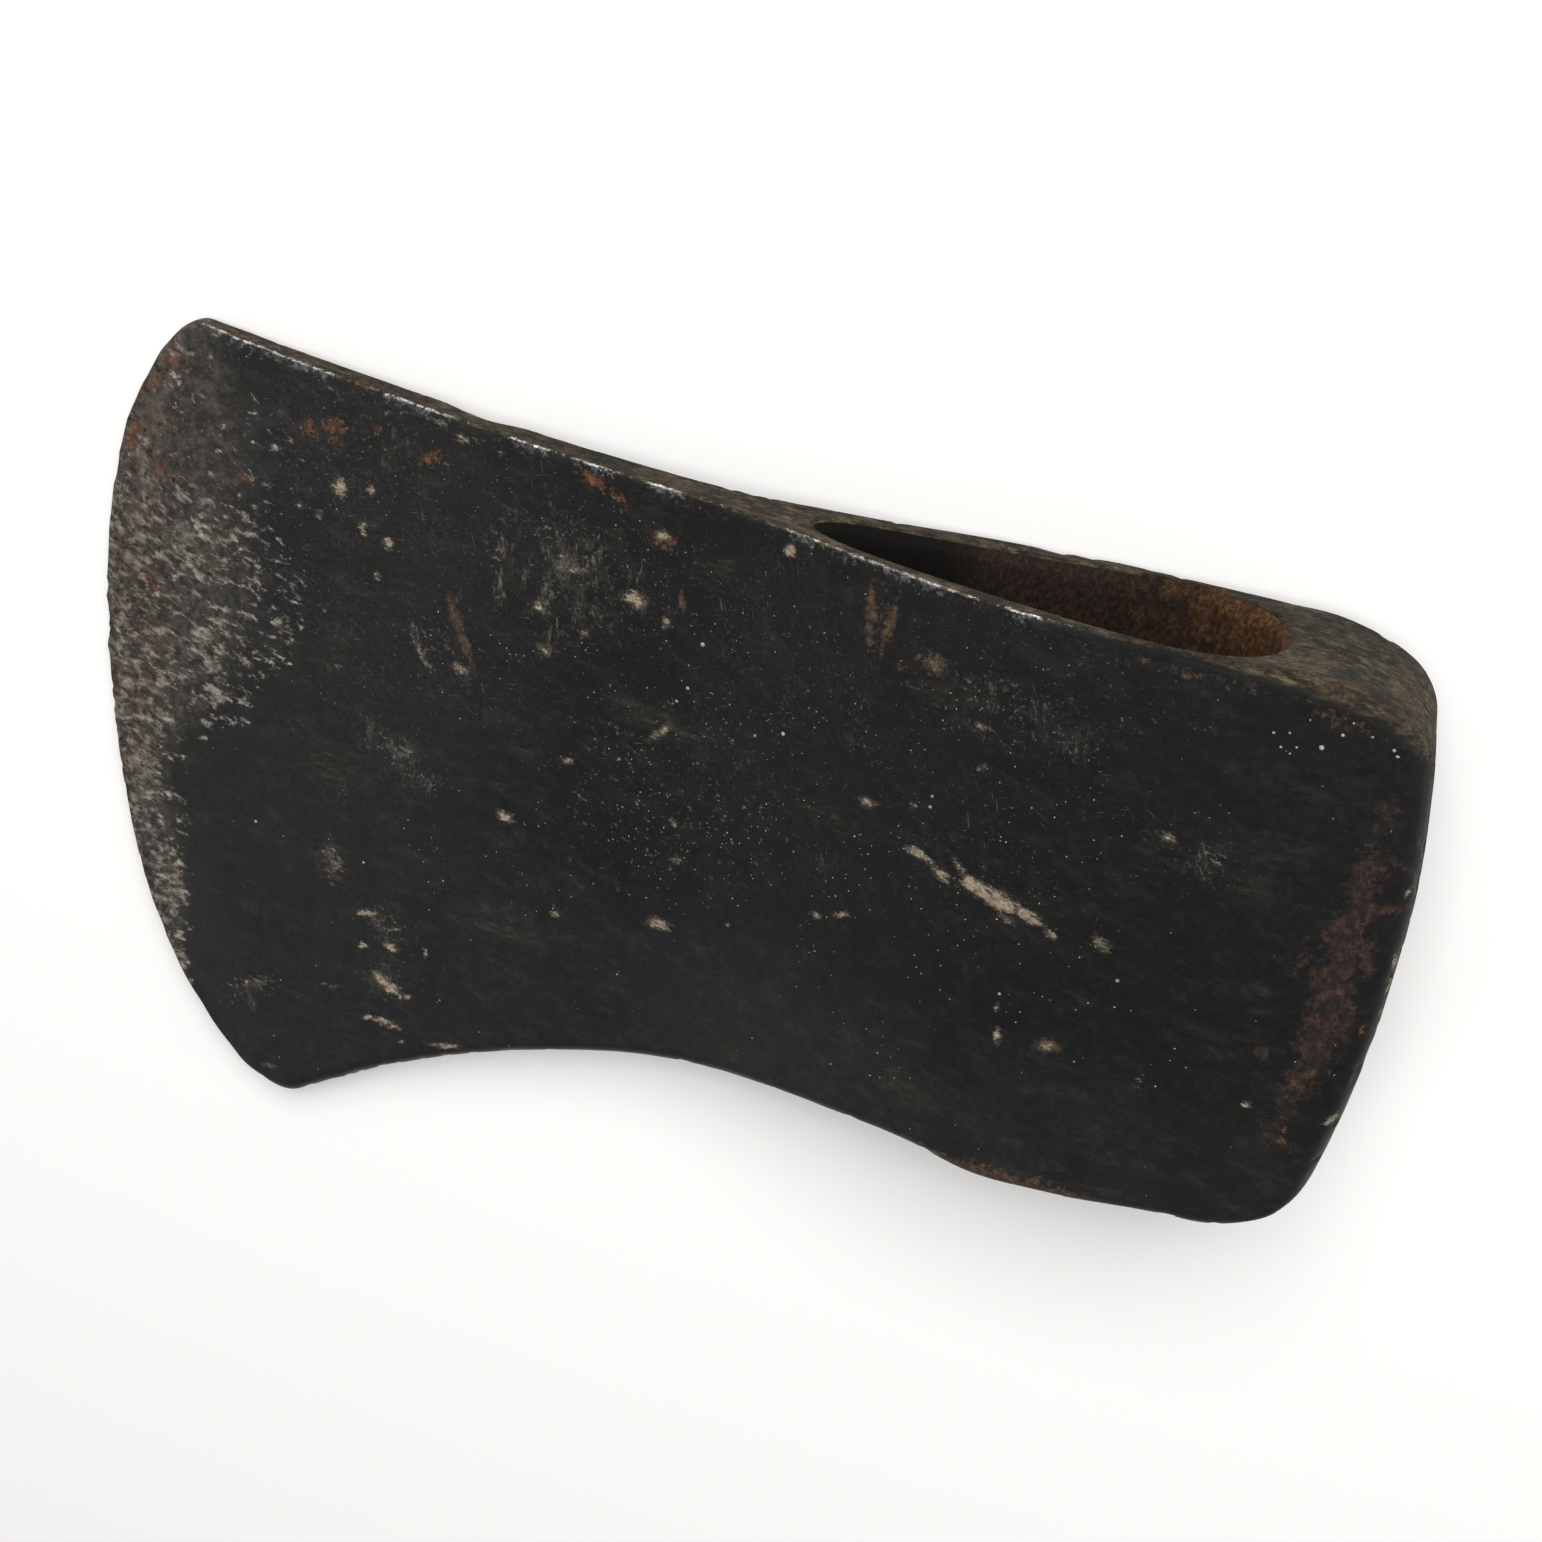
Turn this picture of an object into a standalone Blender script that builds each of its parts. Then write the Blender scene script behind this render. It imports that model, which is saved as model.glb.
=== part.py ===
"""A forged steel axe head without its haft, lying on one cheek.

The head is drawn in its own axes and laid down at the end. In its own axes X runs
from the bit towards the poll, with zero at the eye's centre. Y runs along the eye
towards the haft's outer end, with zero at the eye's mid height. Z is the thickness,
with zero on the middle plane: the near cheek looks up along +Z, and the far cheek,
on which the head lies, looks down along -Z.
"""
import math

import bmesh
import bpy
from mathutils import Matrix, Vector

MM = 0.001

# Length and height
HEAD_LENGTH = 190 * MM
POLL_FROM_EYE = 54.4 * MM          # from the eye's centre to the poll face
EYE_HEIGHT = 82.6 * MM             # from the haft's shoulder to the top rim

# Bit: the cutting edge is an arc, foremost at its crest
BIT_RADIUS = 180 * MM
BIT_CREST = 7.5 * MM               # height of the crest above the eye's mid height
BIT_HALF_THICKNESS = 0.8 * MM      # the edge is worn blunt
BEVEL_LENGTH = 15 * MM             # the edge's convex bevel, measured along X
TOE_CORNER_LENGTH = 10.2 * MM
TOE_CORNER_HEIGHT = 37.5 * MM
HEEL_CORNER_LENGTH = 17 * MM
HEEL_CORNER_HEIGHT = 48.5 * MM

# Top and bottom edges: straight at the eye, then arcs out to the toe and the heel
TOP_ARC_RADIUS = 848 * MM
TOP_ARC_START = 8.5 * MM
BEARD_ARC_RADIUS = 163 * MM
BEARD_ARC_START = -7 * MM
LIP_DROP = 1.8 * MM                # a low lip hangs under the eye's rear half
LIP_CENTRE = 15.5 * MM
LIP_HALF_LENGTH = 22 * MM

# Blade: half its thickness behind the bevel, and at the neck in front of the eye
BLADE_HALF_AT_BIT = 2.0 * MM
BLADE_HALF_AT_NECK = 3.7 * MM
NECK_AHEAD_OF_EYE = 21.5 * MM      # from the eye's front tip forward to the neck

# Eye: an oval, pointed towards the bit and blunt towards the poll
EYE_LENGTH = 61 * MM
EYE_MID_WIDTH = 17.1 * MM          # at the eye's centre
EYE_SKEW = 5.5 * MM                # half width gained towards the poll and lost towards the bit
EYE_FULLNESS = 4.2 * MM            # half width gained towards both ends
EYE_OFFSET = 1.2 * MM              # the eye sits a little nearer the near cheek
EYE_WAIST = 0.9 * MM               # how much narrower each wall makes the eye at mid height
EYE_RIM_ROUND = 1.4 * MM

# Cheeks and poll
EYE_WALL = 4.0 * MM                # beside the widest part of the eye
WIDEST_BEHIND_CENTRE = 7.7 * MM    # where the cheeks stand furthest apart
POLL_HALF_THICKNESS = 13.1 * MM
POLL_FLAT = 12 * MM                # height of the flat in the middle of the poll face
POLL_FLAT_CENTRE = 1.6 * MM
POLL_CROWN_RADIUS = 181 * MM       # the poll falls away above and below its flat
POLL_TOP_CORNER_LENGTH = 17 * MM
POLL_TOP_CORNER_HEIGHT = 9 * MM
POLL_LOW_CORNER_LENGTH = 12.7 * MM
POLL_LOW_CORNER_HEIGHT = 10.9 * MM

# Rounding of the worn edges
TOP_NEAR_EDGE_ROUND = 0.9 * MM     # the crisper edge, above the near cheek
TOP_FAR_EDGE_ROUND = 2.4 * MM
BOTTOM_EDGE_ROUND = 2.7 * MM
POLL_EDGE_ROUND = 3.6 * MM
THIN_EDGE_SHARE = 0.9              # most of the half thickness that a rounding may take

# Worn flats on the far cheek, where the head rests
REST_WEAR = 0.3 * MM

# Fineness of the solid
STATION_STEP = 7 * MM              # between sections along the head
CORNER_STEPS = 6                   # sections in each rounded corner
CHEEK_ROWS = 17                    # rows of points up each cheek
EDGE_STEPS = 3                     # facets across each rounded edge
EYE_SIDES = 40
RIM_STEPS = 3
WALL_STEPS = 6
SMALLEST_STEP = 0.4 * MM           # sections closer than this are merged
PROFILE_STEP = 0.5 * MM            # where the resting plane is looked for along the head
SETTLING_ROUNDS = 20               # the resting plane's slope is found by repeated trials
OUTLINE_ROUNDS = 4                 # and so is where a section meets the outline
CUTTER_REACH = 4 * MM              # how far the eye's cutter stands out of the head
SMOOTH_ANGLE = math.radians(34)

# Colour of the head as a whole
HEAD_COLOUR = (0.014, 0.015, 0.016, 1.0)
HEAD_ROUGHNESS = 0.48
HEAD_METALLIC = 0.55

BIT_X = POLL_FROM_EYE - HEAD_LENGTH
EYE_HALF_LENGTH = EYE_LENGTH / 2
EYE_TOP = EYE_HEIGHT / 2
NECK_X = -EYE_HALF_LENGTH - NECK_AHEAD_OF_EYE


def clamp(value, low=0.0, high=1.0):
    return min(max(value, low), high)


def smoothstep(share):
    share = clamp(share)
    return share * share * (3 - 2 * share)


def sagitta(reach, radius):
    """How far an arc of this radius falls away over this reach along its tangent."""
    reach = clamp(abs(reach), 0, radius)
    return radius - math.sqrt(radius * radius - reach * reach)


# Outline, seen on the cheek

def top_line(x):
    return EYE_TOP + sagitta(max(TOP_ARC_START - x, 0), TOP_ARC_RADIUS)


def bottom_line(x):
    lip = math.cos(math.pi / 2 * clamp((x - LIP_CENTRE) / LIP_HALF_LENGTH, -1, 1)) ** 2
    return -EYE_TOP - sagitta(max(BEARD_ARC_START - x, 0), BEARD_ARC_RADIUS) - LIP_DROP * lip


def bit_offset(y):
    """Distance that the cutting edge lies behind its crest at this height."""
    return sagitta(y - BIT_CREST, BIT_RADIUS)


def poll_offset(y):
    """Distance that the poll face lies in front of its flat at this height."""
    half_flat = POLL_FLAT / 2
    reach = max(abs(y - POLL_FLAT_CENTRE), half_flat)
    return sagitta(reach, POLL_CROWN_RADIUS) - sagitta(half_flat, POLL_CROWN_RADIUS)


def section_x(share, y):
    """X of a section at this height.

    Sections follow the bit and the poll at the two ends, and are straight between.
    """
    x = BIT_X + share * HEAD_LENGTH
    neck_share = (NECK_X - BIT_X) / HEAD_LENGTH
    eye_end_share = (EYE_HALF_LENGTH - BIT_X) / HEAD_LENGTH
    x += bit_offset(y) * (1 - smoothstep(share / neck_share))
    x -= poll_offset(y) * smoothstep((share - eye_end_share) / (1 - eye_end_share))
    return x


def corner_loss(distance, length, height):
    """Height taken off by a corner that is a quarter ellipse, at this distance from the end."""
    along = 1 - clamp(distance / length)
    return height * (1 - math.sqrt(1 - along * along))


# Thickness, seen from the top

def eye_half_width(x):
    along = clamp(x / EYE_HALF_LENGTH, -1, 1)
    oval = math.sqrt(1 - along * along)
    return oval * (EYE_MID_WIDTH / 2 + EYE_SKEW * along + EYE_FULLNESS * along * along)


def widest_half_thickness():
    return eye_half_width(WIDEST_BEHIND_CENTRE) + EYE_WALL


def cheek_height(x, distance_from_bit):
    """Half the thickness of the head before any edge is rounded."""
    blade = clamp((x - BIT_X) / (NECK_X - BIT_X))
    wedge = BLADE_HALF_AT_BIT + (BLADE_HALF_AT_NECK - BLADE_HALF_AT_BIT) * blade
    widest = widest_half_thickness()
    swell = smoothstep((x - NECK_X) / (WIDEST_BEHIND_CENTRE - NECK_X))
    thickness = wedge + (widest - BLADE_HALF_AT_NECK) * swell
    behind = clamp((x - WIDEST_BEHIND_CENTRE) / (POLL_FROM_EYE - WIDEST_BEHIND_CENTRE))
    thickness += (POLL_HALF_THICKNESS - widest) * behind
    bevel = math.sqrt(clamp(distance_from_bit / BEVEL_LENGTH))
    return BIT_HALF_THICKNESS + (thickness - BIT_HALF_THICKNESS) * bevel


def cheek_profile():
    """Points along the cheek at the height of the bit's crest."""
    steps = int(HEAD_LENGTH / PROFILE_STEP)
    xs = [BIT_X + i * PROFILE_STEP for i in range(steps)]
    return [(x, cheek_height(x, x - BIT_X)) for x in xs]


def resting_plane():
    """Slope and height of the plane that touches the blade's shoulder and the swell beside the eye.

    The plane lies a little inside both, so each of them has a worn flat on the far cheek.
    """
    front = [point for point in cheek_profile() if point[0] < NECK_X]
    back = [point for point in cheek_profile() if point[0] > NECK_X]
    slope = 0.0
    for _ in range(SETTLING_ROUNDS):
        low = max(front, key=lambda point: point[1] - slope * point[0])
        high = max(back, key=lambda point: point[1] - slope * point[0])
        slope = (high[1] - low[1]) / (high[0] - low[0])
    return slope, high[1] - slope * high[0] - REST_WEAR


REST_SLOPE, REST_HEIGHT = resting_plane()


def swell_flat_ends():
    """X of the two ends of the worn flat beside the eye."""
    worn = [x for x, height in cheek_profile() if x > NECK_X and height > REST_HEIGHT + REST_SLOPE * x]
    return worn[0], worn[-1]


# Sections

def end_height(share, line, corners):
    """Height of the top or bottom of a section, with its corners taken off towards the middle."""
    bit_length, bit_height, poll_length, poll_height = corners
    y = line(section_x(share, 0.0))
    for _ in range(OUTLINE_ROUNDS):
        y = line(section_x(share, y))
    from_bit = section_x(share, y) - section_x(0, y)
    from_poll = section_x(1, y) - section_x(share, y)
    loss = corner_loss(from_bit, bit_length, bit_height) + corner_loss(from_poll, poll_length, poll_height)
    return y - math.copysign(loss, y)


def half_section(share, side):
    """Points of one side of a section, from the bottom edge over the cheek to the top edge."""
    top = end_height(share, top_line, (TOE_CORNER_LENGTH, TOE_CORNER_HEIGHT,
                                       POLL_TOP_CORNER_LENGTH, POLL_TOP_CORNER_HEIGHT))
    bottom = end_height(share, bottom_line, (HEEL_CORNER_LENGTH, HEEL_CORNER_HEIGHT,
                                             POLL_LOW_CORNER_LENGTH, POLL_LOW_CORNER_HEIGHT))
    poll_loss = corner_loss((1 - share) * HEAD_LENGTH, POLL_EDGE_ROUND, POLL_EDGE_ROUND)

    def height_at(y):
        x = section_x(share, y)
        height = cheek_height(x, x - section_x(0, y)) - poll_loss
        if side < 0:
            height = min(height, REST_HEIGHT + REST_SLOPE * x)
        return height

    def point(y, drop):
        return Vector((section_x(share, y), y, side * (height_at(y) - drop)))

    top_round = TOP_NEAR_EDGE_ROUND if side > 0 else TOP_FAR_EDGE_ROUND
    top_round = min(top_round, THIN_EDGE_SHARE * height_at(top))
    bottom_round = min(BOTTOM_EDGE_ROUND, THIN_EDGE_SHARE * height_at(bottom))
    points = []
    for step in range(EDGE_STEPS):
        angle = math.pi / 2 * step / EDGE_STEPS
        height = bottom + bottom_round * (1 - math.cos(angle))
        points.append(point(height, bottom_round * (1 - math.sin(angle))))
    low = bottom + bottom_round
    high = top - top_round
    for row in range(CHEEK_ROWS):
        points.append(point(low + (high - low) * row / (CHEEK_ROWS - 1), 0.0))
    for step in range(1, EDGE_STEPS + 1):
        angle = math.pi / 2 * step / EDGE_STEPS
        points.append(point(high + top_round * math.sin(angle), top_round * (1 - math.cos(angle))))
    return points


def section_shares():
    """Places of the sections along the head: close together in the corners, even between."""
    def corner(length, line, at_poll):
        y = line(0.0)
        span = section_x(1, y) - section_x(0, y)
        turns = [math.pi / 2 * step / CORNER_STEPS for step in range(CORNER_STEPS + 1)]
        shares = [length / span * (1 - math.cos(turn)) for turn in turns]
        return [1 - share if at_poll else share for share in shares]

    shares = corner(TOE_CORNER_LENGTH, top_line, False)
    shares += corner(HEEL_CORNER_LENGTH, bottom_line, False)
    shares += corner(POLL_TOP_CORNER_LENGTH, top_line, True)
    shares += corner(POLL_LOW_CORNER_LENGTH, bottom_line, True)
    shares += corner(POLL_EDGE_ROUND, top_line, True)
    steps = round(HEAD_LENGTH / STATION_STEP)
    shares += [step / steps for step in range(steps + 1)]
    flat = [(x - BIT_X) / HEAD_LENGTH for x in swell_flat_ends()]
    shares = [share for share in shares if not flat[0] < share < flat[1]] + flat
    kept = [0.0]
    for share in sorted(shares):
        if share - kept[-1] > SMALLEST_STEP / HEAD_LENGTH and 1 - share > SMALLEST_STEP / HEAD_LENGTH:
            kept.append(share)
    return kept + [1.0]


# Solids

def mesh_object(name, rings, collection, cap):
    """A closed loft through rings of points, with its two ends closed by the given function."""
    bm = bmesh.new()
    loops = [[bm.verts.new(point) for point in ring] for ring in rings]
    sides = len(loops[0])
    for first, second in zip(loops, loops[1:]):
        for i in range(sides):
            j = (i + 1) % sides
            bm.faces.new((first[i], first[j], second[j], second[i]))
    cap(bm, loops[0])
    cap(bm, loops[-1])
    bmesh.ops.recalc_face_normals(bm, faces=bm.faces)
    mesh = bpy.data.meshes.new(name)
    bm.to_mesh(mesh)
    bm.free()
    obj = bpy.data.objects.new(name, mesh)
    collection.objects.link(obj)
    return obj


def strip_cap(bm, loop):
    """Close a section with a strip of faces between its near and far sides."""
    last = len(loop) - 1
    for i in range(len(loop) // 2 - 1):
        bm.faces.new((loop[i], loop[i + 1], loop[last - i - 1], loop[last - i]))


def flat_cap(bm, loop):
    bm.faces.new(loop)


def build_head(collection):
    """The whole outside of the head, before the eye goes through it."""
    rings = []
    for share in section_shares():
        near = half_section(share, 1)
        far = half_section(share, -1)
        rings.append(near + far[::-1])
    return mesh_object("axe_head", rings, collection, strip_cap)


def eye_ring(level, growth):
    """One turn of the eye's wall, at a share of the eye's height and widened by an amount."""
    ring = []
    for side in range(EYE_SIDES):
        turn = 2 * math.pi * side / EYE_SIDES
        along = math.cos(turn)
        wall = eye_half_width(along * EYE_HALF_LENGTH)
        x = along * (EYE_HALF_LENGTH + growth)
        z = EYE_OFFSET + math.copysign(wall, math.sin(turn)) + growth * math.sin(turn)
        if abs(along) > 1 - 1e-9:
            z = EYE_OFFSET
        y = bottom_line(x) + (top_line(x) - bottom_line(x)) * level
        ring.append(Vector((x, y, z)))
    return ring


def build_eye_cutter(collection):
    """The eye's inside: a slight waist at mid height, and rounded rims that open outwards."""
    levels = [(-CUTTER_REACH / EYE_HEIGHT, EYE_RIM_ROUND)]
    rim_share = EYE_RIM_ROUND / EYE_HEIGHT
    for step in range(RIM_STEPS):
        angle = math.pi / 2 * step / RIM_STEPS
        levels.append((rim_share * math.sin(angle), EYE_RIM_ROUND * (1 - math.sin(angle))))
    for step in range(WALL_STEPS + 1):
        share = step / WALL_STEPS
        level = rim_share + (1 - 2 * rim_share) * share
        levels.append((level, -EYE_WAIST * math.sin(math.pi * share)))
    for step in range(RIM_STEPS - 1, -1, -1):
        angle = math.pi / 2 * step / RIM_STEPS
        levels.append((1 - rim_share * math.sin(angle), EYE_RIM_ROUND * (1 - math.sin(angle))))
    levels.append((1 + CUTTER_REACH / EYE_HEIGHT, EYE_RIM_ROUND))
    rings = [eye_ring(level, growth) for level, growth in levels]
    cutter = mesh_object("eye_cutter", rings, collection, flat_cap)
    cutter.hide_render = True
    cutter.display_type = "WIRE"
    return cutter


def cut_eye(head, cutter):
    cut = head.modifiers.new("eye", "BOOLEAN")
    cut.operation = "DIFFERENCE"
    cut.solver = "EXACT"
    cut.object = cutter


def lay_down(head, cutter, collection):
    """Turn the head onto its far cheek, with its underside at z = 0 and its middle over the origin."""
    pose = bpy.data.objects.new("lying_pose", None)
    collection.objects.link(pose)
    turn = Matrix.Rotation(-math.atan(REST_SLOPE), 4, "Y")
    turned = [turn @ vertex.co for vertex in head.data.vertices]
    low = Vector([min(point[axis] for point in turned) for axis in range(3)])
    high = Vector([max(point[axis] for point in turned) for axis in range(3)])
    move = Vector((-(low.x + high.x) / 2, -(low.y + high.y) / 2, -low.z))
    pose.matrix_world = Matrix.Translation(move) @ turn
    head.parent = pose
    cutter.parent = pose


def head_material():
    """Black forged steel, worn to a satin."""
    material = bpy.data.materials.new("black_forged_steel")
    material.use_nodes = True
    surface = material.node_tree.nodes["Principled BSDF"]
    surface.inputs["Base Color"].default_value = HEAD_COLOUR
    surface.inputs["Roughness"].default_value = HEAD_ROUGHNESS
    surface.inputs["Metallic"].default_value = HEAD_METALLIC
    material.diffuse_color = HEAD_COLOUR
    return material


def new_collection(name):
    collection = bpy.data.collections.new(name)
    bpy.context.scene.collection.children.link(collection)
    return collection


def main():
    for obj in list(bpy.data.objects):
        bpy.data.objects.remove(obj, do_unlink=True)
    parts = new_collection("axe_head")
    cutters = new_collection("cutters")
    head = build_head(parts)
    cutter = build_eye_cutter(cutters)
    cut_eye(head, cutter)
    head.data.materials.append(head_material())
    head.data.shade_smooth()
    head.data.set_sharp_from_angle(angle=SMOOTH_ANGLE)
    lay_down(head, cutter, parts)
    bpy.context.view_layer.update()


main()
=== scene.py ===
"""A worn forged steel axe head without its haft, lying on its far cheek.

The head is drawn in its own axes, in millimetres, and laid down at the end, as in the
CAD part. X runs from the bit towards the poll, with zero at the eye's centre. Y runs
along the eye towards the haft's outer end, with zero at the eye's mid height. Z is the
thickness: the near cheek looks up along +Z.
"""
import logging
import math
from dataclasses import dataclass, field
from enum import Enum
from typing import Any, Callable, Sequence

import bmesh
import bpy
import numpy as np
from bpy.types import Material, Mesh, Modifier, NodeSocket, NodeTree, Object
from mathutils import Matrix, Vector


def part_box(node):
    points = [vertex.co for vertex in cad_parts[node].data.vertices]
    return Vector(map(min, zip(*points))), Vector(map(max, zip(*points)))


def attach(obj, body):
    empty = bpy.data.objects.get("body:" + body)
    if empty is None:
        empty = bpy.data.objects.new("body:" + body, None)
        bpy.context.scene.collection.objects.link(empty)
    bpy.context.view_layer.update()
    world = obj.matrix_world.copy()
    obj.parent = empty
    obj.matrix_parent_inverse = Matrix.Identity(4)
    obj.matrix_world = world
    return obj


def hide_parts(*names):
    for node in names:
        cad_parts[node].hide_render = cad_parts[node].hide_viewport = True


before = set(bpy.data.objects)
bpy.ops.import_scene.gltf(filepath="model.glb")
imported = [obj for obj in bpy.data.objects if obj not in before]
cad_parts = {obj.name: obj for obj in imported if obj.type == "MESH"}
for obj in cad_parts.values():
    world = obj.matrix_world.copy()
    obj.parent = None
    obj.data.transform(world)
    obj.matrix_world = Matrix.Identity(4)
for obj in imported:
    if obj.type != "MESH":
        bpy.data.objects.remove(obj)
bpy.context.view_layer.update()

log = logging.getLogger("axe_head")

MM = 0.001
BODY = "root"

Array = np.ndarray
Pair = tuple[float, float]
Triple = tuple[float, float, float]
Span = tuple[float, float]             # where an even rise from 0 to 1 starts, and its length


# Small curves that the head's shape is made of

def smoothstep(share: Array) -> Array:
    """Returns an even rise from 0 to 1, flat at both ends."""
    share = np.clip(share, 0.0, 1.0)
    return share * share * (3 - 2 * share)


def rise(value: Array, start: float, length: float) -> Array:
    """Returns an even rise from 0 to 1 over this length from this start, flat at both ends."""
    return smoothstep((value - start) / length)


def sagitta(reach: Array, radius: float) -> Array:
    """Returns how far an arc of this radius falls away over this reach along its tangent."""
    reach = np.clip(np.abs(reach), 0.0, radius)
    return radius - np.sqrt(radius * radius - reach * reach)


def corner_loss(distance: Array, length: float, height: float) -> Array:
    """Returns the height that a quarter-ellipse corner takes off at this distance from the end."""
    along = 1 - np.clip(distance / length, 0.0, 1.0)
    return height * (1 - np.sqrt(1 - along * along))


@dataclass(frozen=True)
class HeadShape:
    """Sizes of the head in millimetres, with the curves that follow from them."""

    length: float = 190.0
    poll_from_eye: float = 54.4
    eye_height: float = 82.6
    bit_radius: float = 180.0
    bit_crest: float = 7.5
    bit_half_thickness: float = 0.8
    bevel_length: float = 15.0
    toe_corner: Pair = (10.2, 37.5)
    heel_corner: Pair = (17.0, 48.5)
    top_arc_radius: float = 848.0
    top_arc_start: float = 8.5
    beard_arc_radius: float = 163.0
    beard_arc_start: float = -7.0
    lip_drop: float = 1.8
    lip_centre: float = 15.5
    lip_half_length: float = 22.0
    blade_half_at_bit: float = 2.0
    blade_half_at_neck: float = 3.7
    neck_ahead_of_eye: float = 21.5
    eye_length: float = 61.0
    eye_mid_width: float = 17.1
    eye_skew: float = 5.5
    eye_fullness: float = 4.2
    eye_offset: float = 1.2
    eye_waist: float = 0.9
    eye_rim_round: float = 1.4
    eye_wall: float = 4.0
    widest_behind_centre: float = 7.7
    poll_half_thickness: float = 13.1
    poll_flat: float = 12.0
    poll_flat_centre: float = 1.6
    poll_crown_radius: float = 181.0
    poll_top_corner: Pair = (17.0, 9.0)
    poll_low_corner: Pair = (12.7, 10.9)
    top_near_edge_round: Pair = (0.6, 2.4)  # over the blade and at the poll
    top_near_edge_softens: Span = (4.0, 40.0)
    top_far_edge_round: float = 2.4
    bottom_edge_round: float = 2.7
    poll_edge_round: float = 3.6
    thin_edge_share: float = 0.9
    rest_wear: float = 0.3
    beyond_eye: float = 9.0            # reach of a point past the eye's tips

    @property
    def bit_x(self) -> float:
        """X of the bit's crest."""
        return self.poll_from_eye - self.length

    @property
    def eye_half(self) -> float:
        """Half the eye's length."""
        return self.eye_length / 2

    @property
    def eye_top(self) -> float:
        """Height of the eye's top rim above its mid height."""
        return self.eye_height / 2

    @property
    def neck_x(self) -> float:
        """X of the neck, where the blade's wedge meets the eye's swell."""
        return -self.eye_half - self.neck_ahead_of_eye

    def top_line(self, x: Array) -> Array:
        """Returns the height of the top edge at x."""
        return self.eye_top + sagitta(np.maximum(self.top_arc_start - x, 0), self.top_arc_radius)

    def near_edge_round(self, x: Array) -> Array:
        """Returns the radius of the near cheek's top edge at x, crisp up to the eye's middle."""
        crisp, soft = self.top_near_edge_round
        return crisp + (soft - crisp) * rise(x, *self.top_near_edge_softens)

    def bottom_line(self, x: Array) -> Array:
        """Returns the height of the bottom edge at x, with the beard's arc and the low lip."""
        along = np.clip((x - self.lip_centre) / self.lip_half_length, -1, 1)
        beard = sagitta(np.maximum(self.beard_arc_start - x, 0), self.beard_arc_radius)
        return -self.eye_top - beard - self.lip_drop * np.cos(math.pi / 2 * along) ** 2

    def section_x(self, share: Array, y: Array) -> Array:
        """Finds the X of sections that follow the bit and the poll, and are straight between.

        Args:
            share: Place along the head, 0 at the bit and 1 at the poll.
            y: Height.

        Returns:
            X of each point.
        """
        half_flat = self.poll_flat / 2
        reach = np.maximum(np.abs(y - self.poll_flat_centre), half_flat)
        crown = sagitta(reach, self.poll_crown_radius) - sagitta(half_flat, self.poll_crown_radius)
        neck_share = (self.neck_x - self.bit_x) / self.length
        eye_end = (self.eye_half - self.bit_x) / self.length
        x = self.bit_x + share * self.length
        x = x + sagitta(y - self.bit_crest, self.bit_radius) * (1 - rise(share, 0, neck_share))
        return x - crown * rise(share, eye_end, 1 - eye_end)

    def from_bit(self, x: Array, y: Array) -> Array:
        """Returns the distance behind the cutting edge, measured along X."""
        return x - self.section_x(np.zeros_like(x), y)

    def eye_half_width(self, x: Array) -> Array:
        """Returns half the eye's width at x: pointed towards the bit and blunt towards the poll."""
        along = np.clip(x / self.eye_half, -1, 1)
        oval = np.sqrt(1 - along * along)
        fullness = self.eye_skew * along + self.eye_fullness * along ** 2
        return oval * (self.eye_mid_width / 2 + fullness)

    def cheek_height(self, x: Array, from_bit: Array) -> Array:
        """Finds half the head's thickness before any edge is rounded.

        Args:
            x: Place along the head.
            from_bit: Distance behind the cutting edge.

        Returns:
            Height of the cheek above the middle plane.
        """
        blade = np.clip((x - self.bit_x) / (self.neck_x - self.bit_x), 0, 1)
        wedge = self.blade_half_at_bit + (self.blade_half_at_neck - self.blade_half_at_bit) * blade
        widest = self.eye_half_width(np.array(self.widest_behind_centre)) + self.eye_wall
        swell = rise(x, self.neck_x, self.widest_behind_centre - self.neck_x)
        behind = (x - self.widest_behind_centre) / (self.poll_from_eye - self.widest_behind_centre)
        thickness = wedge + (widest - self.blade_half_at_neck) * swell
        thickness = thickness + (self.poll_half_thickness - widest) * np.clip(behind, 0, 1)
        bevel = np.sqrt(np.clip(from_bit / self.bevel_length, 0, 1))
        return self.bit_half_thickness + (thickness - self.bit_half_thickness) * bevel

    def resting_plane(self, step: float = 0.5, rounds: int = 20) -> Pair:
        """Finds the plane that the far cheek rests on.

        Args:
            step: Distance between the points tried along the head.
            rounds: Number of trials of the slope.

        Returns:
            The plane's slope along X and its height at X = 0.
        """
        x = self.bit_x + np.arange(int(self.length / step)) * step
        height = self.cheek_height(x, x - self.bit_x)
        front, back = x < self.neck_x, x > self.neck_x
        slope = 0.0
        for _ in range(rounds):
            low = np.argmax(np.where(front, height - slope * x, -np.inf))
            high = np.argmax(np.where(back, height - slope * x, -np.inf))
            slope = (height[high] - height[low]) / (x[high] - x[low])
        return float(slope), float(height[high] - slope * x[high] - self.rest_wear)

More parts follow.
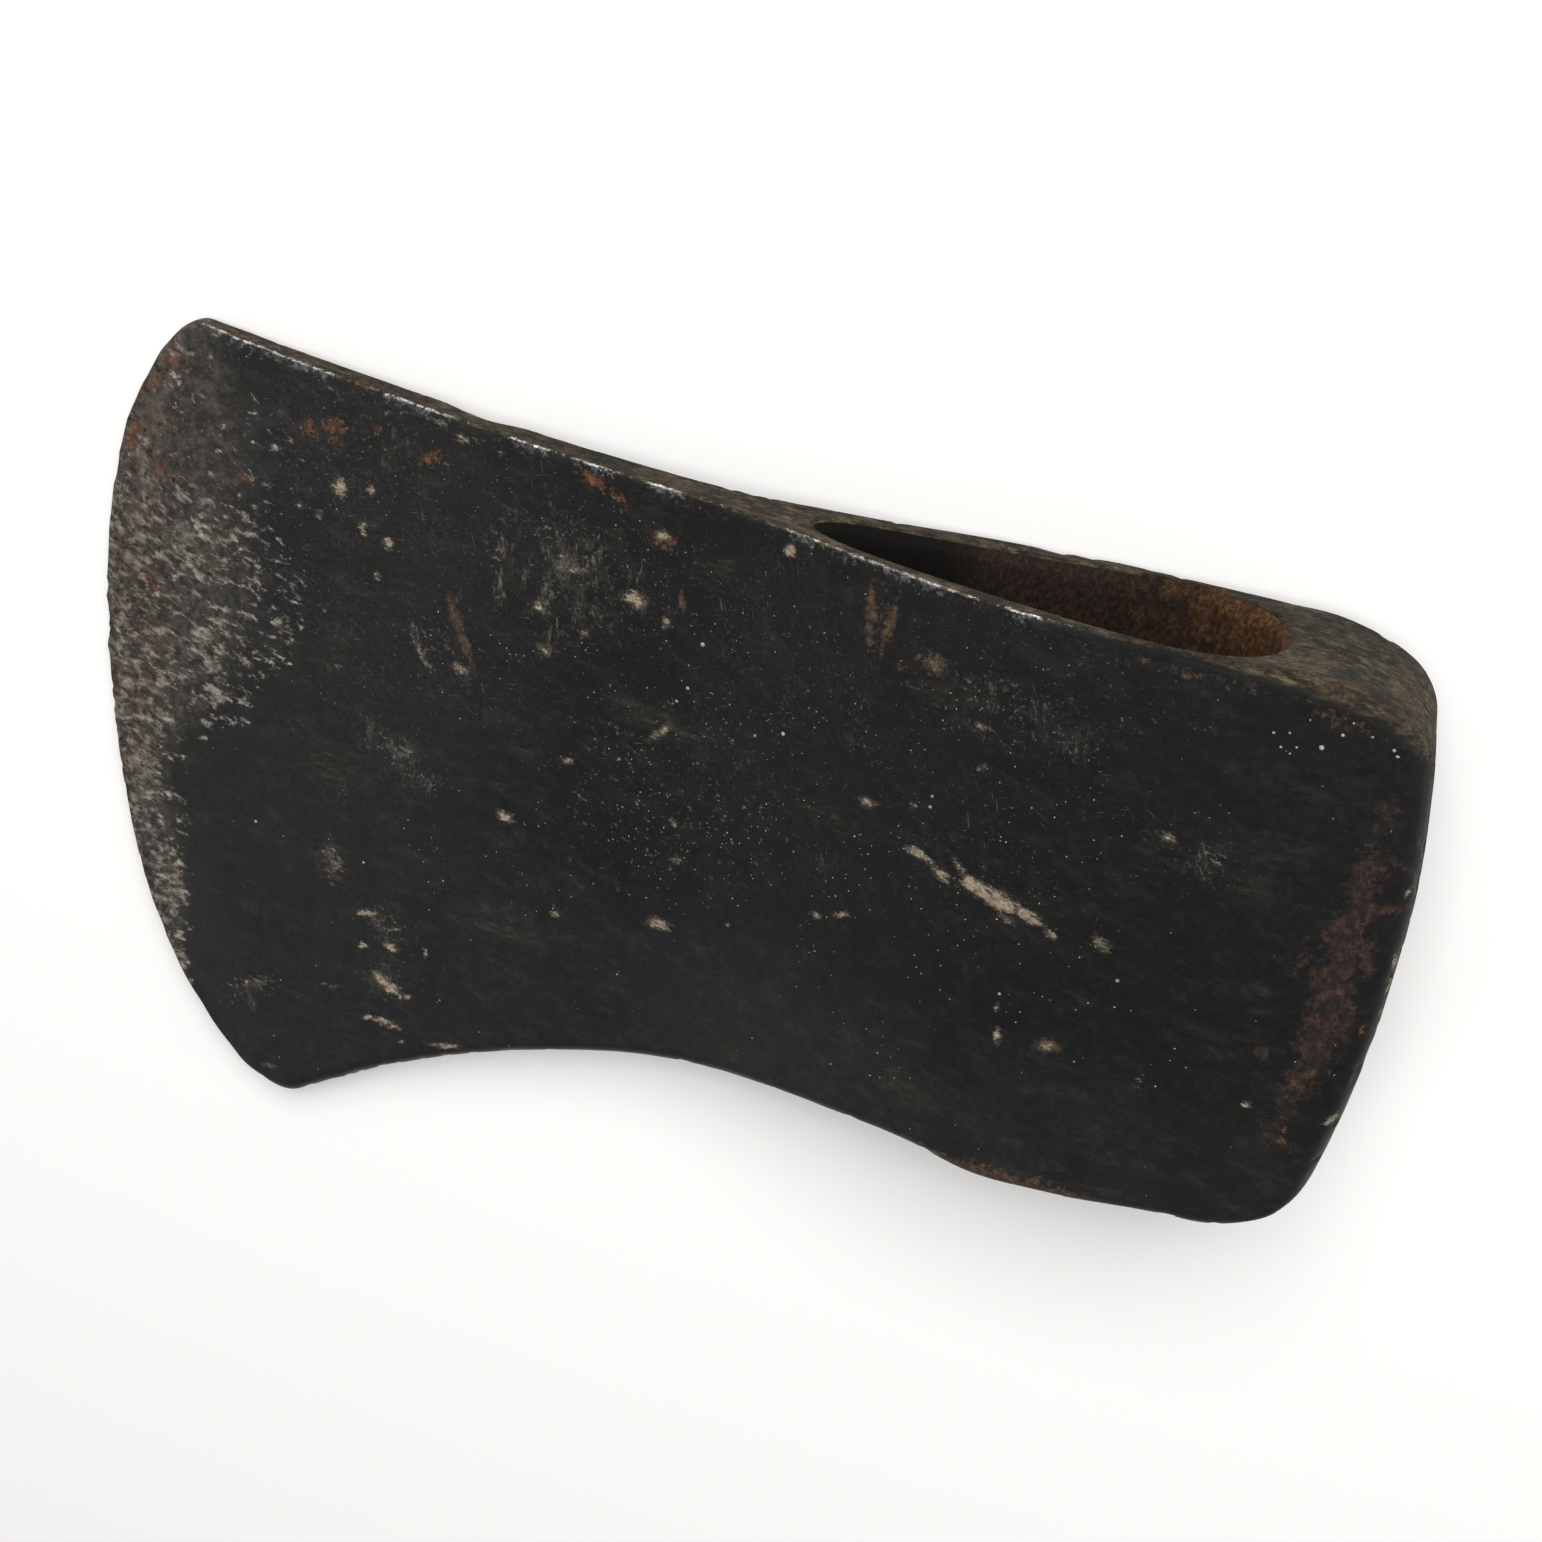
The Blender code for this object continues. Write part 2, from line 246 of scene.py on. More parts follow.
    def end_height(self, share: Array, line: Callable[[Array], Array],
                   bit_corner: Pair, poll_corner: Pair, rounds: int = 4) -> Array:
        """Finds where sections end at the top or bottom edge, with the corners taken off.

        Args:
            share: Place of each section along the head.
            line: The edge's own curve.
            bit_corner: Length and height of the corner at the bit.
            poll_corner: Length and height of the corner at the poll.
            rounds: Number of times that the height is corrected for the section's own bend.

        Returns:
            Height of each section's end.
        """
        y = line(self.section_x(share, np.zeros_like(share)))
        for _ in range(rounds):
            y = line(self.section_x(share, y))
        x = self.section_x(share, y)
        loss = corner_loss(x - self.section_x(np.zeros_like(share), y), *bit_corner)
        loss = loss + corner_loss(self.section_x(np.ones_like(share), y) - x, *poll_corner)
        return y - np.copysign(loss, y)

    def eye_reach(self, points: Array, growth: float) -> Array:
        """Says how far out from the eye's middle each point lies.

        Args:
            points: Points in the head's own axes.
            growth: How much wider than the eye the oval is that counts as 1.

        Returns:
            Share of the oval's half width, which is beyond_eye for points past its tips.
        """
        along = points[:, 0] / (self.eye_half + growth)
        inside = np.abs(along) < 1
        bulge = np.sqrt(np.where(inside, 1 - along * along, 1.0))
        wall = self.eye_half_width(np.clip(along, -1, 1) * self.eye_half) + growth * bulge
        reach = np.abs(points[:, 2] - self.eye_offset) / np.maximum(wall, 1e-6)
        return np.where(inside, reach, self.beyond_eye)


@dataclass
class Grit:
    """Smooth random fields in space, the same on every run."""

    seed: int
    side: int = 32
    shift: float = 7.31                # keeps the head's middle off the lattice's own planes
    octave_shift: float = 19.7         # mm, between one field and the next finer one
    lattice: Array = field(init=False, repr=False)

    def __post_init__(self) -> None:
        """Fills the lattice of random numbers from the seed."""
        self.lattice = np.random.default_rng(self.seed).random((self.side,) * 3)

    def value(self, points: Array, cell: float | Sequence[float]) -> Array:
        """Reads one smooth field.

        Args:
            points: Points in millimetres.
            cell: Size of a lump, the same along each axis or one for each.

        Returns:
            Numbers from 0 to 1.
        """
        place = points / np.asarray(cell, float) + self.shift
        base = np.floor(place).astype(int)
        share = smoothstep(place - base)
        total = np.zeros(len(points))
        for corner in range(8):
            step = np.array([corner & 1, corner >> 1 & 1, corner >> 2 & 1])
            index = (base + step) % self.side
            weight = np.prod(np.where(step == 1, share, 1 - share), axis=1)
            total += weight * self.lattice[index[:, 0], index[:, 1], index[:, 2]]
        return total

    def fractal(self, points: Array, cell: float | Sequence[float], octaves: int = 3) -> Array:
        """Adds finer and finer fields together.

        Args:
            points: Points in millimetres.
            cell: Size of the largest lumps.
            octaves: Number of fields, each half the size and half the strength of the last.

        Returns:
            Numbers from 0 to 1.
        """
        size = np.asarray(cell, float)
        weights = [0.5 ** step for step in range(octaves)]
        fields = [weight * self.value(points + self.octave_shift * step, size * weight)
                  for step, weight in enumerate(weights)]
        return sum(fields) / sum(weights)


# Marks on the near cheek

HALVING = 0.69                         # exponent that halves a mark's strength at its outline


class Mark(Enum):
    """Kinds of mark, each of them a layer of the head's finish."""

    RUST = "rust"
    STAIN = "stain"
    CLAY = "clay"
    GREY = "grey"
    HAZE = "haze"
    BROWN = "brown"
    BLUE = "blue"
    SCUFF = "scuff"


@dataclass(frozen=True)
class Patch:
    """An oval mark on the near cheek, in the head's own axes and millimetres."""

    x: float
    y: float
    length: float
    width: float
    turn: float
    strength: float

    def cover(self, points: Array) -> Array:
        """Returns how strongly the mark covers each point: half its strength at its outline."""
        angle = math.radians(self.turn)
        dx, dy = points[:, 0] - self.x, points[:, 1] - self.y
        along = (dx * math.cos(angle) + dy * math.sin(angle)) / (self.length / 2)
        across = (dy * math.cos(angle) - dx * math.sin(angle)) / (self.width / 2)
        return self.strength * np.exp(-HALVING * (along * along + across * across))


# Marks on the near cheek: x, y, length, width, turn in degrees, and strength
CHEEK_MARKS: dict[Mark, list[Patch]] = {mark: [Patch(*row) for row in rows] for mark, rows in {
    Mark.RUST: (
        (-103.4, 39.9, 4.5, 3.6, 13, 0.75), (-99.3, 40.6, 4.8, 4.2, -76, 0.8),
        (-93, 42, 2.6, 2.2, 13, 0.7), (-85.3, 39.7, 4.6, 2.8, 22, 0.8),
        (-112.6, 29.9, 4.2, 3.4, -6, 0.7), (-115.8, 39.9, 2.4, 2, 13, 0.6),
        (-125, 45.1, 5, 3.4, -119, 0.7), (-128.4, 40.4, 6, 3.6, -119, 0.75),
        (-131, 32.6, 6, 3.2, -100, 0.9), (-127, 28.4, 3.8, 3.6, -52, 0.7),
        (-127.9, 10.6, 3, 2, -78, 0.8), (-125.9, -5.8, 3.6, 2.8, 16, 0.6),
        (-20, 33.2, 3, 1.2, -70, 0.6), (-123.6, -9.1, 5, 2.2, -89, 0.7),
        (-61.3, 42, 6.4, 2.2, -17, 0.95), (-57.6, 40.2, 3.2, 1.6, -20, 0.8),
        (-22.2, 41.6, 6.1, 1.4, -64, 0.55), (52.2, -4.3, 3.3, 1.8, -69, 0.6),
        (-37, 42.4, 5, 1.8, -10, 0.5), (-13.7, 29.8, 5.7, 2.2, 19, 0.6),
        (-51.1, 36.2, 4.2, 3.2, 14, 0.85), (46.3, -23.1, 7.5, 4, -64, 0.5),
    ),
    Mark.STAIN: (
        (48.2, 25.8, 7.5, 4.6, -84, 0.6), (47.3, 16.8, 11, 5.6, -89, 0.75),
        (46.9, 8.6, 11, 6, -89, 0.8), (46.9, 1.1, 11, 6, -89, 0.8), (47.2, -6.5, 11, 6.6, -93, 0.8),
        (46.6, -14.6, 10, 5.4, -97, 0.75), (51, 13.5, 6, 2.2, 14, 0.8),
        (44.6, -22, 8, 4.6, -80, 0.6), (50.8, 20, 5, 1.8, -24, 0.7), (50.6, 6, 9, 3, -86, 0.62),
        (50.2, -4, 10, 3, -90, 0.6), (42.6, 4, 12, 2.2, -88, 0.5), (41, -11.3, 2.4, 2.3, 17, 0.95),
        (-46, 41, 16, 4, -8, 0.45), (-20, 36, 12, 5, -85, 0.5), (-90, 42.5, 22, 5, -8, 0.4),
    ),
    Mark.CLAY: (
        (-98.4, 32.3, 3, 2.4, -65, 0.75), (-93.7, 33, 1.4, 1.3, 13, 0.75),
        (-101.3, 27.8, 1.8, 1.2, -17, 0.6), (-104.3, 28.3, 2.2, 1.2, -17, 0.6),
        (-103.1, 22.3, 1.4, 1.2, -29, 0.6), (-94.6, 27, 2.8, 1.3, -76, 0.7),
        (-90.7, 25.9, 1.9, 1.6, -76, 0.75), (-92, 20.5, 1.3, 1.2, -53, 0.7),
        (-80.7, 43.5, 2.3, 1.8, -7, 0.6), (-67.4, 22.2, 3.4, 2.6, -64, 0.5),
        (-63.6, 29.1, 6.3, 3.6, -6, 0.42), (-66.4, 16, 2.7, 2.7, 15, 0.5),
        (-60.6, 19.9, 1.5, 1.2, -63, 0.7), (-53.9, 26.8, 3.7, 2.6, -23, 0.7),
        (-49.3, 24.6, 1.4, 1.2, -73, 0.75), (-51.1, 36.4, 2.3, 1.7, 14, 0.8),
        (-33, 39.6, 1.6, 1.5, -47, 0.9), (-78.6, 9.7, 3.5, 2.6, -6, 0.5),
        (-61.2, 0.1, 2, 1.3, 43, 0.6), (-48.3, 7.9, 4.6, 1.5, 48, 0.6),
        (-69.8, -11.6, 2.8, 1.7, -17, 0.8), (-44.5, -5.1, 1.4, 1, -51, 0.7),
        (-43.4, -10.4, 1.5, 1.1, -37, 0.7), (-44.8, -21.9, 3.8, 1.9, 10, 0.74),
        (-34.4, -17.9, 1.1, 0.9, 22, 0.7), (-60.7, -25.2, 1.8, 1.6, -53, 0.55),
        (-21.4, -10.9, 2, 1.4, 23, 0.6), (-17.8, -9.3, 3, 1, 32, 0.6),
        (-16.9, 8.7, 2.6, 1.9, 1, 0.6), (-10.4, 10.7, 1.2, 1, -70, 0.6),
        (-10.9, 31, 2.4, 1.4, 9, 0.5), (-8.8, 4.2, 3.2, 1.2, -12, 0.75),
        (13.6, -18.6, 2.2, 1.2, 23, 0.7), (-92, 44.6, 1.8, 1, -8, 0.6),
        (-75, 42.6, 1.4, 1, -8, 0.6), (-83.6, 44.9, 1.6, 0.9, -8, 0.7),
        (-5, 2.3, 4.5, 1.7, -26, 0.62), (-0.1, 2.2, 4.8, 2.1, -21, 0.76),
        (3.5, 1.2, 5.6, 2.4, -13, 0.82), (7.8, 0.1, 4.4, 1.9, -22, 0.7),
        (-2.9, 4.6, 2.4, 1, -38, 0.62), (5, -1.4, 2.6, 1, -20, 0.58),
        (11, -1.8, 2.2, 1.2, -34, 0.58), (-7.8, 3.8, 1.8, 1.2, -12, 0.6),
        (17.6, -1.3, 3.5, 1.7, -41, 0.6), (22.6, 16.2, 2.7, 1.7, -7, 0.6),
        (40.8, -19.5, 1.3, 0.9, 6, 0.9), (-90.7, -34.2, 4.3, 1, 11, 0.75),
        (-86.4, -38.8, 3.2, 1.3, -14, 0.8), (-91, -40, 1.7, 0.8, 17, 0.9),
        (-86.1, -35.7, 3, 0.8, 7, 0.7), (-87.2, -45.2, 5, 2, -26, 0.78),
        (-85.6, -46.8, 3.6, 1, -20, 0.7), (-83.3, -46.8, 1.7, 0.8, 7, 0.8),
        (-89.7, -52.8, 2, 0.9, 8, 0.9), (-86.3, -52.8, 5.6, 1.4, -8, 0.74),
        (-80.7, -38.1, 1.6, 0.8, -73, 0.8), (-76.2, -53.7, 4.8, 1, 10, 0.85),
        (-96, -48.9, 4.1, 0.8, 9, 0.6), (-83.7, -55.1, 1.8, 0.7, 18, 0.6),
        (53.8, 5.7, 2.2, 0.7, -80, 0.9), (54, 1.9, 2.4, 0.5, 88, 0.7),
        (54, -1.7, 1.6, 0.5, 88, 0.6), (51.9, -18.7, 2.4, 1.1, 50, 0.8),
        (52.9, 16.3, 2.4, 0.6, 70, 0.6), (-108.9, -52.4, 7.1, 2.6, 32, 0.45),
        (-106.4, -67.3, 3.3, 1.2, 10, 0.6), (-96.5, -27.1, 7.9, 4.3, -77, 0.42),
        (-3.4, 24.7, 2.6, 1.6, -5, 0.55), (-2.4, 19.1, 1.9, 1.1, 17, 0.55),
        (6.7, -19, 2.8, 0.9, -84, 0.8), (5.9, -14.5, 1.1, 0.9, -70, 0.8),
    ),
    Mark.GREY: (
        (-122.6, 19.5, 4.6, 5, -53, 1), (-119.3, 24.4, 3.4, 2.6, -16, 0.8),
        (-128.5, -19.9, 11, 5.6, -79, 0.9), (-127.2, -30.2, 4.5, 3.4, 18, 0.7),
        (-123.6, -43.5, 5, 4.4, -55, 0.7), (-106.6, 14.7, 3.2, 2.2, -41, 0.8),
        (-105.9, 9.2, 3.6, 3, -48, 0.8), (-97.6, 5.5, 3.2, 2.4, -23, 0.6),
        (-84, 14.4, 8.5, 3, -59, 0.5), (-74.4, 25.9, 10.8, 1.6, -80, 0.55),
        (-31.3, -2.2, 3.9, 1.1, -82, 0.6), (-30.3, 19.6, 3.6, 1.4, 15, 0.6),
        (-4.7, 30.3, 10.5, 4.1, 12, 0.45), (26.6, -20.1, 3.5, 2.2, -30, 0.5),
        (28.4, 14.7, 6.7, 5.5, -29, 0.45), (-70, 46.5, 26, 3, -6, 0.5),
        (-46, 44, 18, 2.4, -6, 0.45), (-68, 34, 9, 4, -60, 0.42), (-86.5, -5.3, 6.7, 3.6, -5, 0.5),
        (-82.8, -8.9, 4.2, 2.5, 16, 0.45), (-85.8, 45, 6, 1.6, -8, 0.7),
        (-79.8, 43.9, 4, 1.4, -8, 0.6), (-101, 46.5, 7, 1.6, -9, 0.6), (-71.5, 43, 4, 1.2, -7, 0.5),
        (-84.4, 10.4, 6, 1.1, -58, 0.85), (-99.5, 13, 5, 0.9, -42, 0.8),
    ),
    Mark.SCUFF: (
        (-73.9, 29.4, 6, 1.8, 88, 0.62), (-73.4, 23, 9, 2.4, 92, 0.6), (-70, 27, 7, 1.6, 84, 0.6),
        (-64.4, 29.6, 7, 3.6, 66, 0.64), (-60.4, 31, 5, 2.2, 58, 0.62),
        (-66.9, 23.6, 6.5, 2.4, 82, 0.66), (-65.3, 18.2, 8, 3.2, 88, 0.58),
        (-62, 24, 8, 3, 86, 0.5), (-86.2, 14.6, 5, 1.4, -62, 0.66),
        (-84.4, 10.6, 8, 2.6, -62, 0.72), (-76.6, 10.2, 3.4, 2.2, -6, 0.6),
        (-53.6, 30.8, 4.6, 2.2, 78, 0.58), (-57.4, 26, 5, 1.8, 86, 0.5),
        (-79.5, 20.5, 5, 1.2, 80, 0.5), (-35.5, 8, 5, 2.2, 82, 0.55), (-30.6, 19, 4, 2, 70, 0.55),
        (-21.6, -2.4, 6, 1.8, 84, 0.5), (8.8, 25.4, 8, 4.6, 64, 0.44),
        (27.6, 14.4, 7, 4.6, 70, 0.5), (-3.4, 28, 9, 3, 4, 0.42),
    ),
    Mark.HAZE: (
        (-96, 38, 44, 22, 0, 0.7), (-62, 30, 34, 20, -20, 0.8), (-96, 10, 22, 34, 0, 0.6),
        (9, 26.9, 12, 8, 14, 0.7), (-20.3, 16.7, 6, 4, 20, 0.7), (23.6, 32.2, 6, 5, 14, 0.5),
        (-30, 25, 26, 26, 0, 0.5), (-2, 29, 26, 12, 10, 0.7), (28, 14, 14, 12, -30, 0.6),
        (-80, -20, 20, 12, -20, 0.4), (-86, -42, 12, 16, 0, 0.6), (5, 4, 30, 12, -15, 0.5),
        (-89.2, -5.3, 12, 7, -20, 1), (-82.7, -8.8, 9, 6, 10, 1), (-97.6, -26.7, 5, 9, 0, 0.9),
        (-95.1, -16, 6, 8, 0, 0.5), (-88, -35, 11, 7, -20, 1), (-86.8, -46, 9, 7, 0, 0.9),
        (-110.6, -54.5, 12, 7, 20, 0.9), (-60, -20, 34, 16, 10, 0.4), (-65, 27, 5, 11, 14, 0.6),
        (-60.3, 22, 4, 10, 14, 0.6), (-80, 12, 4, 13, 22, 0.8), (-53, 25, 6, 6, 10, 0.5),
    ),
    Mark.BLUE: (
        (-52.9, -2.4, 14, 9, -20, 1), (-36.9, 9.8, 12, 9, 30, 0.9), (-68.5, 1.2, 14, 8, 0, 0.8),
        (-30, 26, 12, 7, 20, 0.8), (-36, -12, 9, 7, 0, 0.8), (-62, -34, 20, 10, 10, 0.6),
        (-104, -38, 12, 14, 0, 0.6), (-24, -26, 16, 9, -20, 0.5),
    ),
    Mark.BROWN: (
        (-79.1, 15.9, 10.7, 1.6, -66, 0.9), (-47.3, 27.8, 4.2, 1, -78, 0.8),
        (-20.7, 35, 9.5, 1.2, -84, 0.85), (-17.8, 34.2, 8.6, 1.1, -97, 0.8),
        (-19.2, 34.6, 10.5, 4, -88, 0.4), (-11.2, 31, 5.2, 3, 9, 0.7),
        (13.6, -18.6, 3.4, 2.2, 23, 0.95), (-3.4, 30.2, 9, 2.6, 10, 0.45),
        (-51.9, -17.5, 3.5, 1.9, -74, 0.45), (-13.7, 27.1, 3.2, 1, -12, 0.7),
        (20, 38.6, 34, 2.4, 0, 0.44), (40, 36.6, 12, 3, -14, 0.46), (12, -42, 34, 4.4, -2, 0.85),
        (-97, -28.2, 5.5, 2.9, -64, 0.5),
    ),
}.items()}


@dataclass(frozen=True)
class Chip:
    """A small loss from an edge, in the head's own axes and millimetres."""

    x: float
    y: float
    z: float
    radius: float
    depth: float

    def take(self, points: Array) -> Array:
        """Returns how deep the chip cuts at each point."""
        away = np.linalg.norm(points - np.array((self.x, self.y, self.z)), axis=1)
        return self.depth * (1 - rise(away, 0, self.radius))


# Width of the bare zone behind the cutting edge at each height, in millimetres
BARE_ZONE = ((-70.0, 2.0), (-58.0, 3.0), (-50.0, 5.0), (-44.0, 8.0), (-33.0, 10.5), (-20.0, 12.0),
             (-14.0, 14.0), (-8.0, 21.0), (0.0, 26.0), (9.0, 30.0), (17.0, 30.0), (28.0, 27.0),
             (36.0, 26.0), (45.0, 20.0), (55.0, 12.0))

# Chips: x, y, z, radius and depth. One of negative depth is a burr or a swelling
EDGE_CHIPS = tuple(Chip(*row) for row in (
    (-1, 41.3, -11.2, 3, 0.2), (3.5, 41.3, -12.2, 2.2, 0.15), (-6.5, 41.4, -8.4, 2, 0.3),
    (-80.5, 46, -3.4, 6, 0.55), (-70, 44.9, -3.6, 3, 0.2), (-40, 42.8, -3.8, 3.5, 0.1),
    (54.6, -9, 8, 4, 0.3), (-127.4, 49.6, 0, 4.2, 0.5), (-133.4, 34.3, 0, 5, -0.25),
    (-134.9, -1.5, 0, 2.2, -0.35), (-135.4, 6, 0, 7, -0.25), (-131, -18, 0, 2.4, 0.3),
    (-133.6, 20, 0, 3, 0.2), (-125, -45, 0, 4, 0.2), (-117.3, -58.6, 0, 4.5, 0.35),
    (-109.4, -66.6, 0, 5, -0.5), (-101.8, -69.3, 0, 3.4, 0.4), (-92, -66, 0, 5, -0.2),
    (7, -42.4, 10.5, 11, -0.55), (54.4, 16.5, 1, 15, -0.42), (-130.4, 43.6, 0, 4.2, 0.5),
    (-77, 45.6, -3.4, 5, 0.3),
))


@dataclass
class ForgedRelief:
    """Hammered waves, pits, chips and worn edges, as depths on the surface in millimetres."""

    shape: HeadShape
    seed: int = 11
    facing: Span = (0.5, 0.4)          # of a normal's share, where it counts as facing that way
    wave_length: float = 17.0
    wave_height: float = 0.26
    lump_size: float = 4.2
    lump_height: float = 0.10
    pit_size: float = 2.1
    pit_share: Span = (0.62, 0.14)
    pit_depth: float = 0.10
    side_grain: float = 3.1
    side_depth: float = 0.07
    nick_size: Triple = (2.2, 1.5, 1.5)
    nick_share: Span = (0.48, 0.25)
    run_length: float = 7.0
    run_share: Span = (0.32, 0.3)
    bit_width: float = 2.6
    bit_loss: float = 0.42
    arris_width: float = 1.6
    arris_loss: float = 0.24
    bore_lump: Triple = (4.0, 8.0, 4.0)
    bore_lump_share: Span = (0.3, 0.5)
    bore_flake: Triple = (6.0, 9.0, 6.0)
    bore_flake_share: Span = (0.45, 0.35)
    bore_loss: float = 0.5
    bore_rim: float = 9.0
    bore_reach: float = 1.001
    poll_swell: float = 0.02           # the most that the poll stands out
    rest_clearance: float = 0.25       # height above the table where the relief is back in full

    def depth(self, points: Array, normals: Array) -> Array:
        """Works out how far each point of the surface moves along its normal.

        Args:
            points: Points in the head's own axes.
            normals: Their outward normals.

        Returns:
            Millimetres, negative where the surface is eaten away.
        """
        shape = self.shape
        waves, lumps, pits, nicks = (Grit(self.seed + step) for step in range(4))
        x, y, z = points.T
        up, down, rear = (rise(share, *self.facing)
                          for share in (normals[:, 2], -normals[:, 2], normals[:, 0]))
        sides = 1 - np.maximum(up, down)
        from_top, from_bottom = shape.top_line(x) - y, y - shape.bottom_line(x)
        # Waves and lumps of the hammer, and pits that are deeper on the sides
        move = self.wave_height * (waves.fractal(points, self.wave_length) - 0.5)
        move += self.lump_height * (lumps.fractal(points, self.lump_size) - 0.5)
        pitted = rise(pits.fractal(points, self.pit_size, 2), *self.pit_share)
        move -= pitted * (self.pit_depth + self.side_depth * sides)
        move -= self.side_depth * sides * (lumps.fractal(points + 40, self.side_grain) - 0.3)
        # Nicks in the cutting edge and in the crisp top edge
        nicked = rise(nicks.fractal(points, self.nick_size, 2), *self.nick_share)
        runs = rise(waves.fractal(points + 9, self.run_length, 2), *self.run_share)
        edge = 1 - rise(shape.from_bit(x, y), 0, self.bit_width)
        move -= self.bit_loss * edge * nicked * runs
        move -= self.arris_loss * (1 - rise(from_top, 0, self.arris_width)) * up * nicked
        # Crusts and flakes of rust inside the eye, which fade out towards its rims
        crusts = rise(lumps.fractal(points, self.bore_lump, 2), *self.bore_lump_share)
        crusts += rise(pits.fractal(points, self.bore_flake, 2), *self.bore_flake_share)
        rims = rise(from_top, 0, self.bore_rim) * rise(from_bottom, 0, self.bore_rim)
        in_eye = shape.eye_reach(points, shape.eye_rim_round) <= self.bore_reach
        move = np.where(in_eye, -self.bore_loss * crusts * rims, move)
        move = np.where(rear > 0.5, np.minimum(move, self.poll_swell), move)
        for chip in EDGE_CHIPS:
            move -= chip.take(points)
        # Nothing reaches below the plane that the far cheek rests on
        slope, height = shape.resting_plane()
        worn = 1 - rise(z + height + slope * x, 0, self.rest_clearance)
        return np.where(normals[:, 2] < -0.6, np.minimum(move, 0.0) * (1 - worn), move)


@dataclass
class WearAndPaintedLight:
    """Where the head's finish is worn, rusted and marked, and where shade and highlights are
    painted into it, as fields that its material reads.

    A span named for a place is in millimetres along X, or along Y where it is a height. One
    named for a way that the surface faces is a share of its normal.
    """

    shape: HeadShape
    seed: int = 23
    upward: Span = (0.3, 0.4)
    upright: Span = (0.1, 0.25)
    top_face: Span = (0.06, 0.4)
    underside: Span = (0.3, 0.3)
    poll_face: Span = (0.5, 0.3)
    zone_ragged: Pair = (0.86, 0.34)   # least width of the bare zone, and its range
    ragged_size: float = 9.0
    zone_end: Span = (0.9, 0.3)        # as a share of the bare zone
    rubbed_end: Span = (0.15, 0.95)    # as a share of the bare zone
    bare_level: float = 0.66
    bare_fall: float = 0.24
    toe_fall: float = 0.17
    toe_height: Span = (20.0, 14.0)
    toe_rub_height: Span = (12.0, 16.0)
    toe_rub_depth: Span = (6.5, 3.0)   # behind the cutting edge
    glint_gap: Span = (0.2, 0.42)
    glint_run: float = 5.0             # mm, of a bright stretch of the crisp edge
    glint_share: Span = (0.34, 0.22)
    glint_start: Span = (-134.0, 8.0)
    glint_end: Span = (2.0, 16.0)
    rub_gap: Span = (0.3, 3.2)
    dust_height: Span = (-24.0, 34.0)
    dust_end: Span = (12.0, 20.0)
    flecks_at: Pair = (-46.0, -2.0)
    flecks_reach: Pair = (36.0, 24.0)
    # Where the painted shade rises along X, and along Y
    shade_start: Span = (-96.0, 50.0)
    shade_height: Span = (-36.0, 30.0)
    eye_rear: Span = (-6.0, 44.0)
    eye_front: Span = (-20.0, 18.0)
    eye_depth: float = 60.0
    mark_facing: Span = (-0.1, 0.5)
    mark_overlap: float = 0.25         # how much of a weaker mark adds to a stronger one
    stroke_lean: float = 14.0          # degrees, of the bare strokes to the cutting edge's arc
    arc_length: float = 160.0

    def fields(self, points: Array, normals: Array) -> dict[str, Array]:
        """Works out every field.

        Args:
            points: Points in the head's own axes.
            normals: Their outward normals.

        Returns:
            A number or a vector for each point, by the name of its attribute.
        """
        shape, grit = self.shape, Grit(self.seed)
        x, y, z = points.T
        behind = shape.from_bit(x, y)
        up = rise(normals[:, 2], *self.upward)
        upright = 1 - rise(normals[:, 2], *self.upright)
        under = rise(-normals[:, 1], *self.underside) * upright
        poll = rise(normals[:, 0], *self.poll_face) * upright
        gap = np.hypot(shape.top_line(x) - y, shape.cheek_height(x, behind) - z)
        along = rise(x, *self.glint_start) * (1 - rise(x, *self.glint_end))
        runs = 0.4 + 0.6 * rise(grit.fractal(points + 5, self.glint_run, 2), *self.glint_share)
        fleck_x, fleck_y = ((place - middle) / reach for place, middle, reach
                            in zip((x, y), self.flecks_at, self.flecks_reach))
        chips = [chip.take(points) for chip in EDGE_CHIPS if chip.z < -2]
        fields = {
            **self.bare_fields(points, behind, grit),
            # The crisp edge's bare steel, partly a painted highlight laid in runs like glints
            "arris": (1 - rise(gap, *self.glint_gap)) * (0.18 + 0.42 * along * runs),
            "edge_rub": (1 - rise(gap, *self.rub_gap)) * along * up * runs,
            "dusty": ((0.4 + 0.6 * rise(y, *self.dust_height))
                      * (1 - 0.45 * rise(x, *self.dust_end))),
            "flecked": np.exp(-fleck_x ** 2 - fleck_y ** 2) * up,
            # Painted shade, darker towards the eye and the top edge
            "sooty": rise(x, *self.shade_start) * (0.15 + 0.85 * rise(y, *self.shade_height)),
            "chipped": 2.5 * np.max(chips, axis=0),
            "scaly": np.max([rise(normals[:, 1], *self.top_face), 0.7 * under, 0.6 * poll], axis=0),
            "eye_rear": rise(x, *self.eye_rear),
            # Painted shade where the front of the eye pinches together
            "eye_front": 1 - rise(x, *self.eye_front),
            # Painted shade in the eye, darker further down from its top rim
            "eye_depth": rise(shape.top_line(x) - y, 0, self.eye_depth),
        }
        for mark, patches in CHEEK_MARKS.items():
            total = np.zeros(len(points))
            for patch in patches:
                cover = patch.cover(points)
                total = np.maximum(total, cover) + self.mark_overlap * np.minimum(total, cover)
            fields[mark.value] = total * rise(normals[:, 2], *self.mark_facing)
        return fields

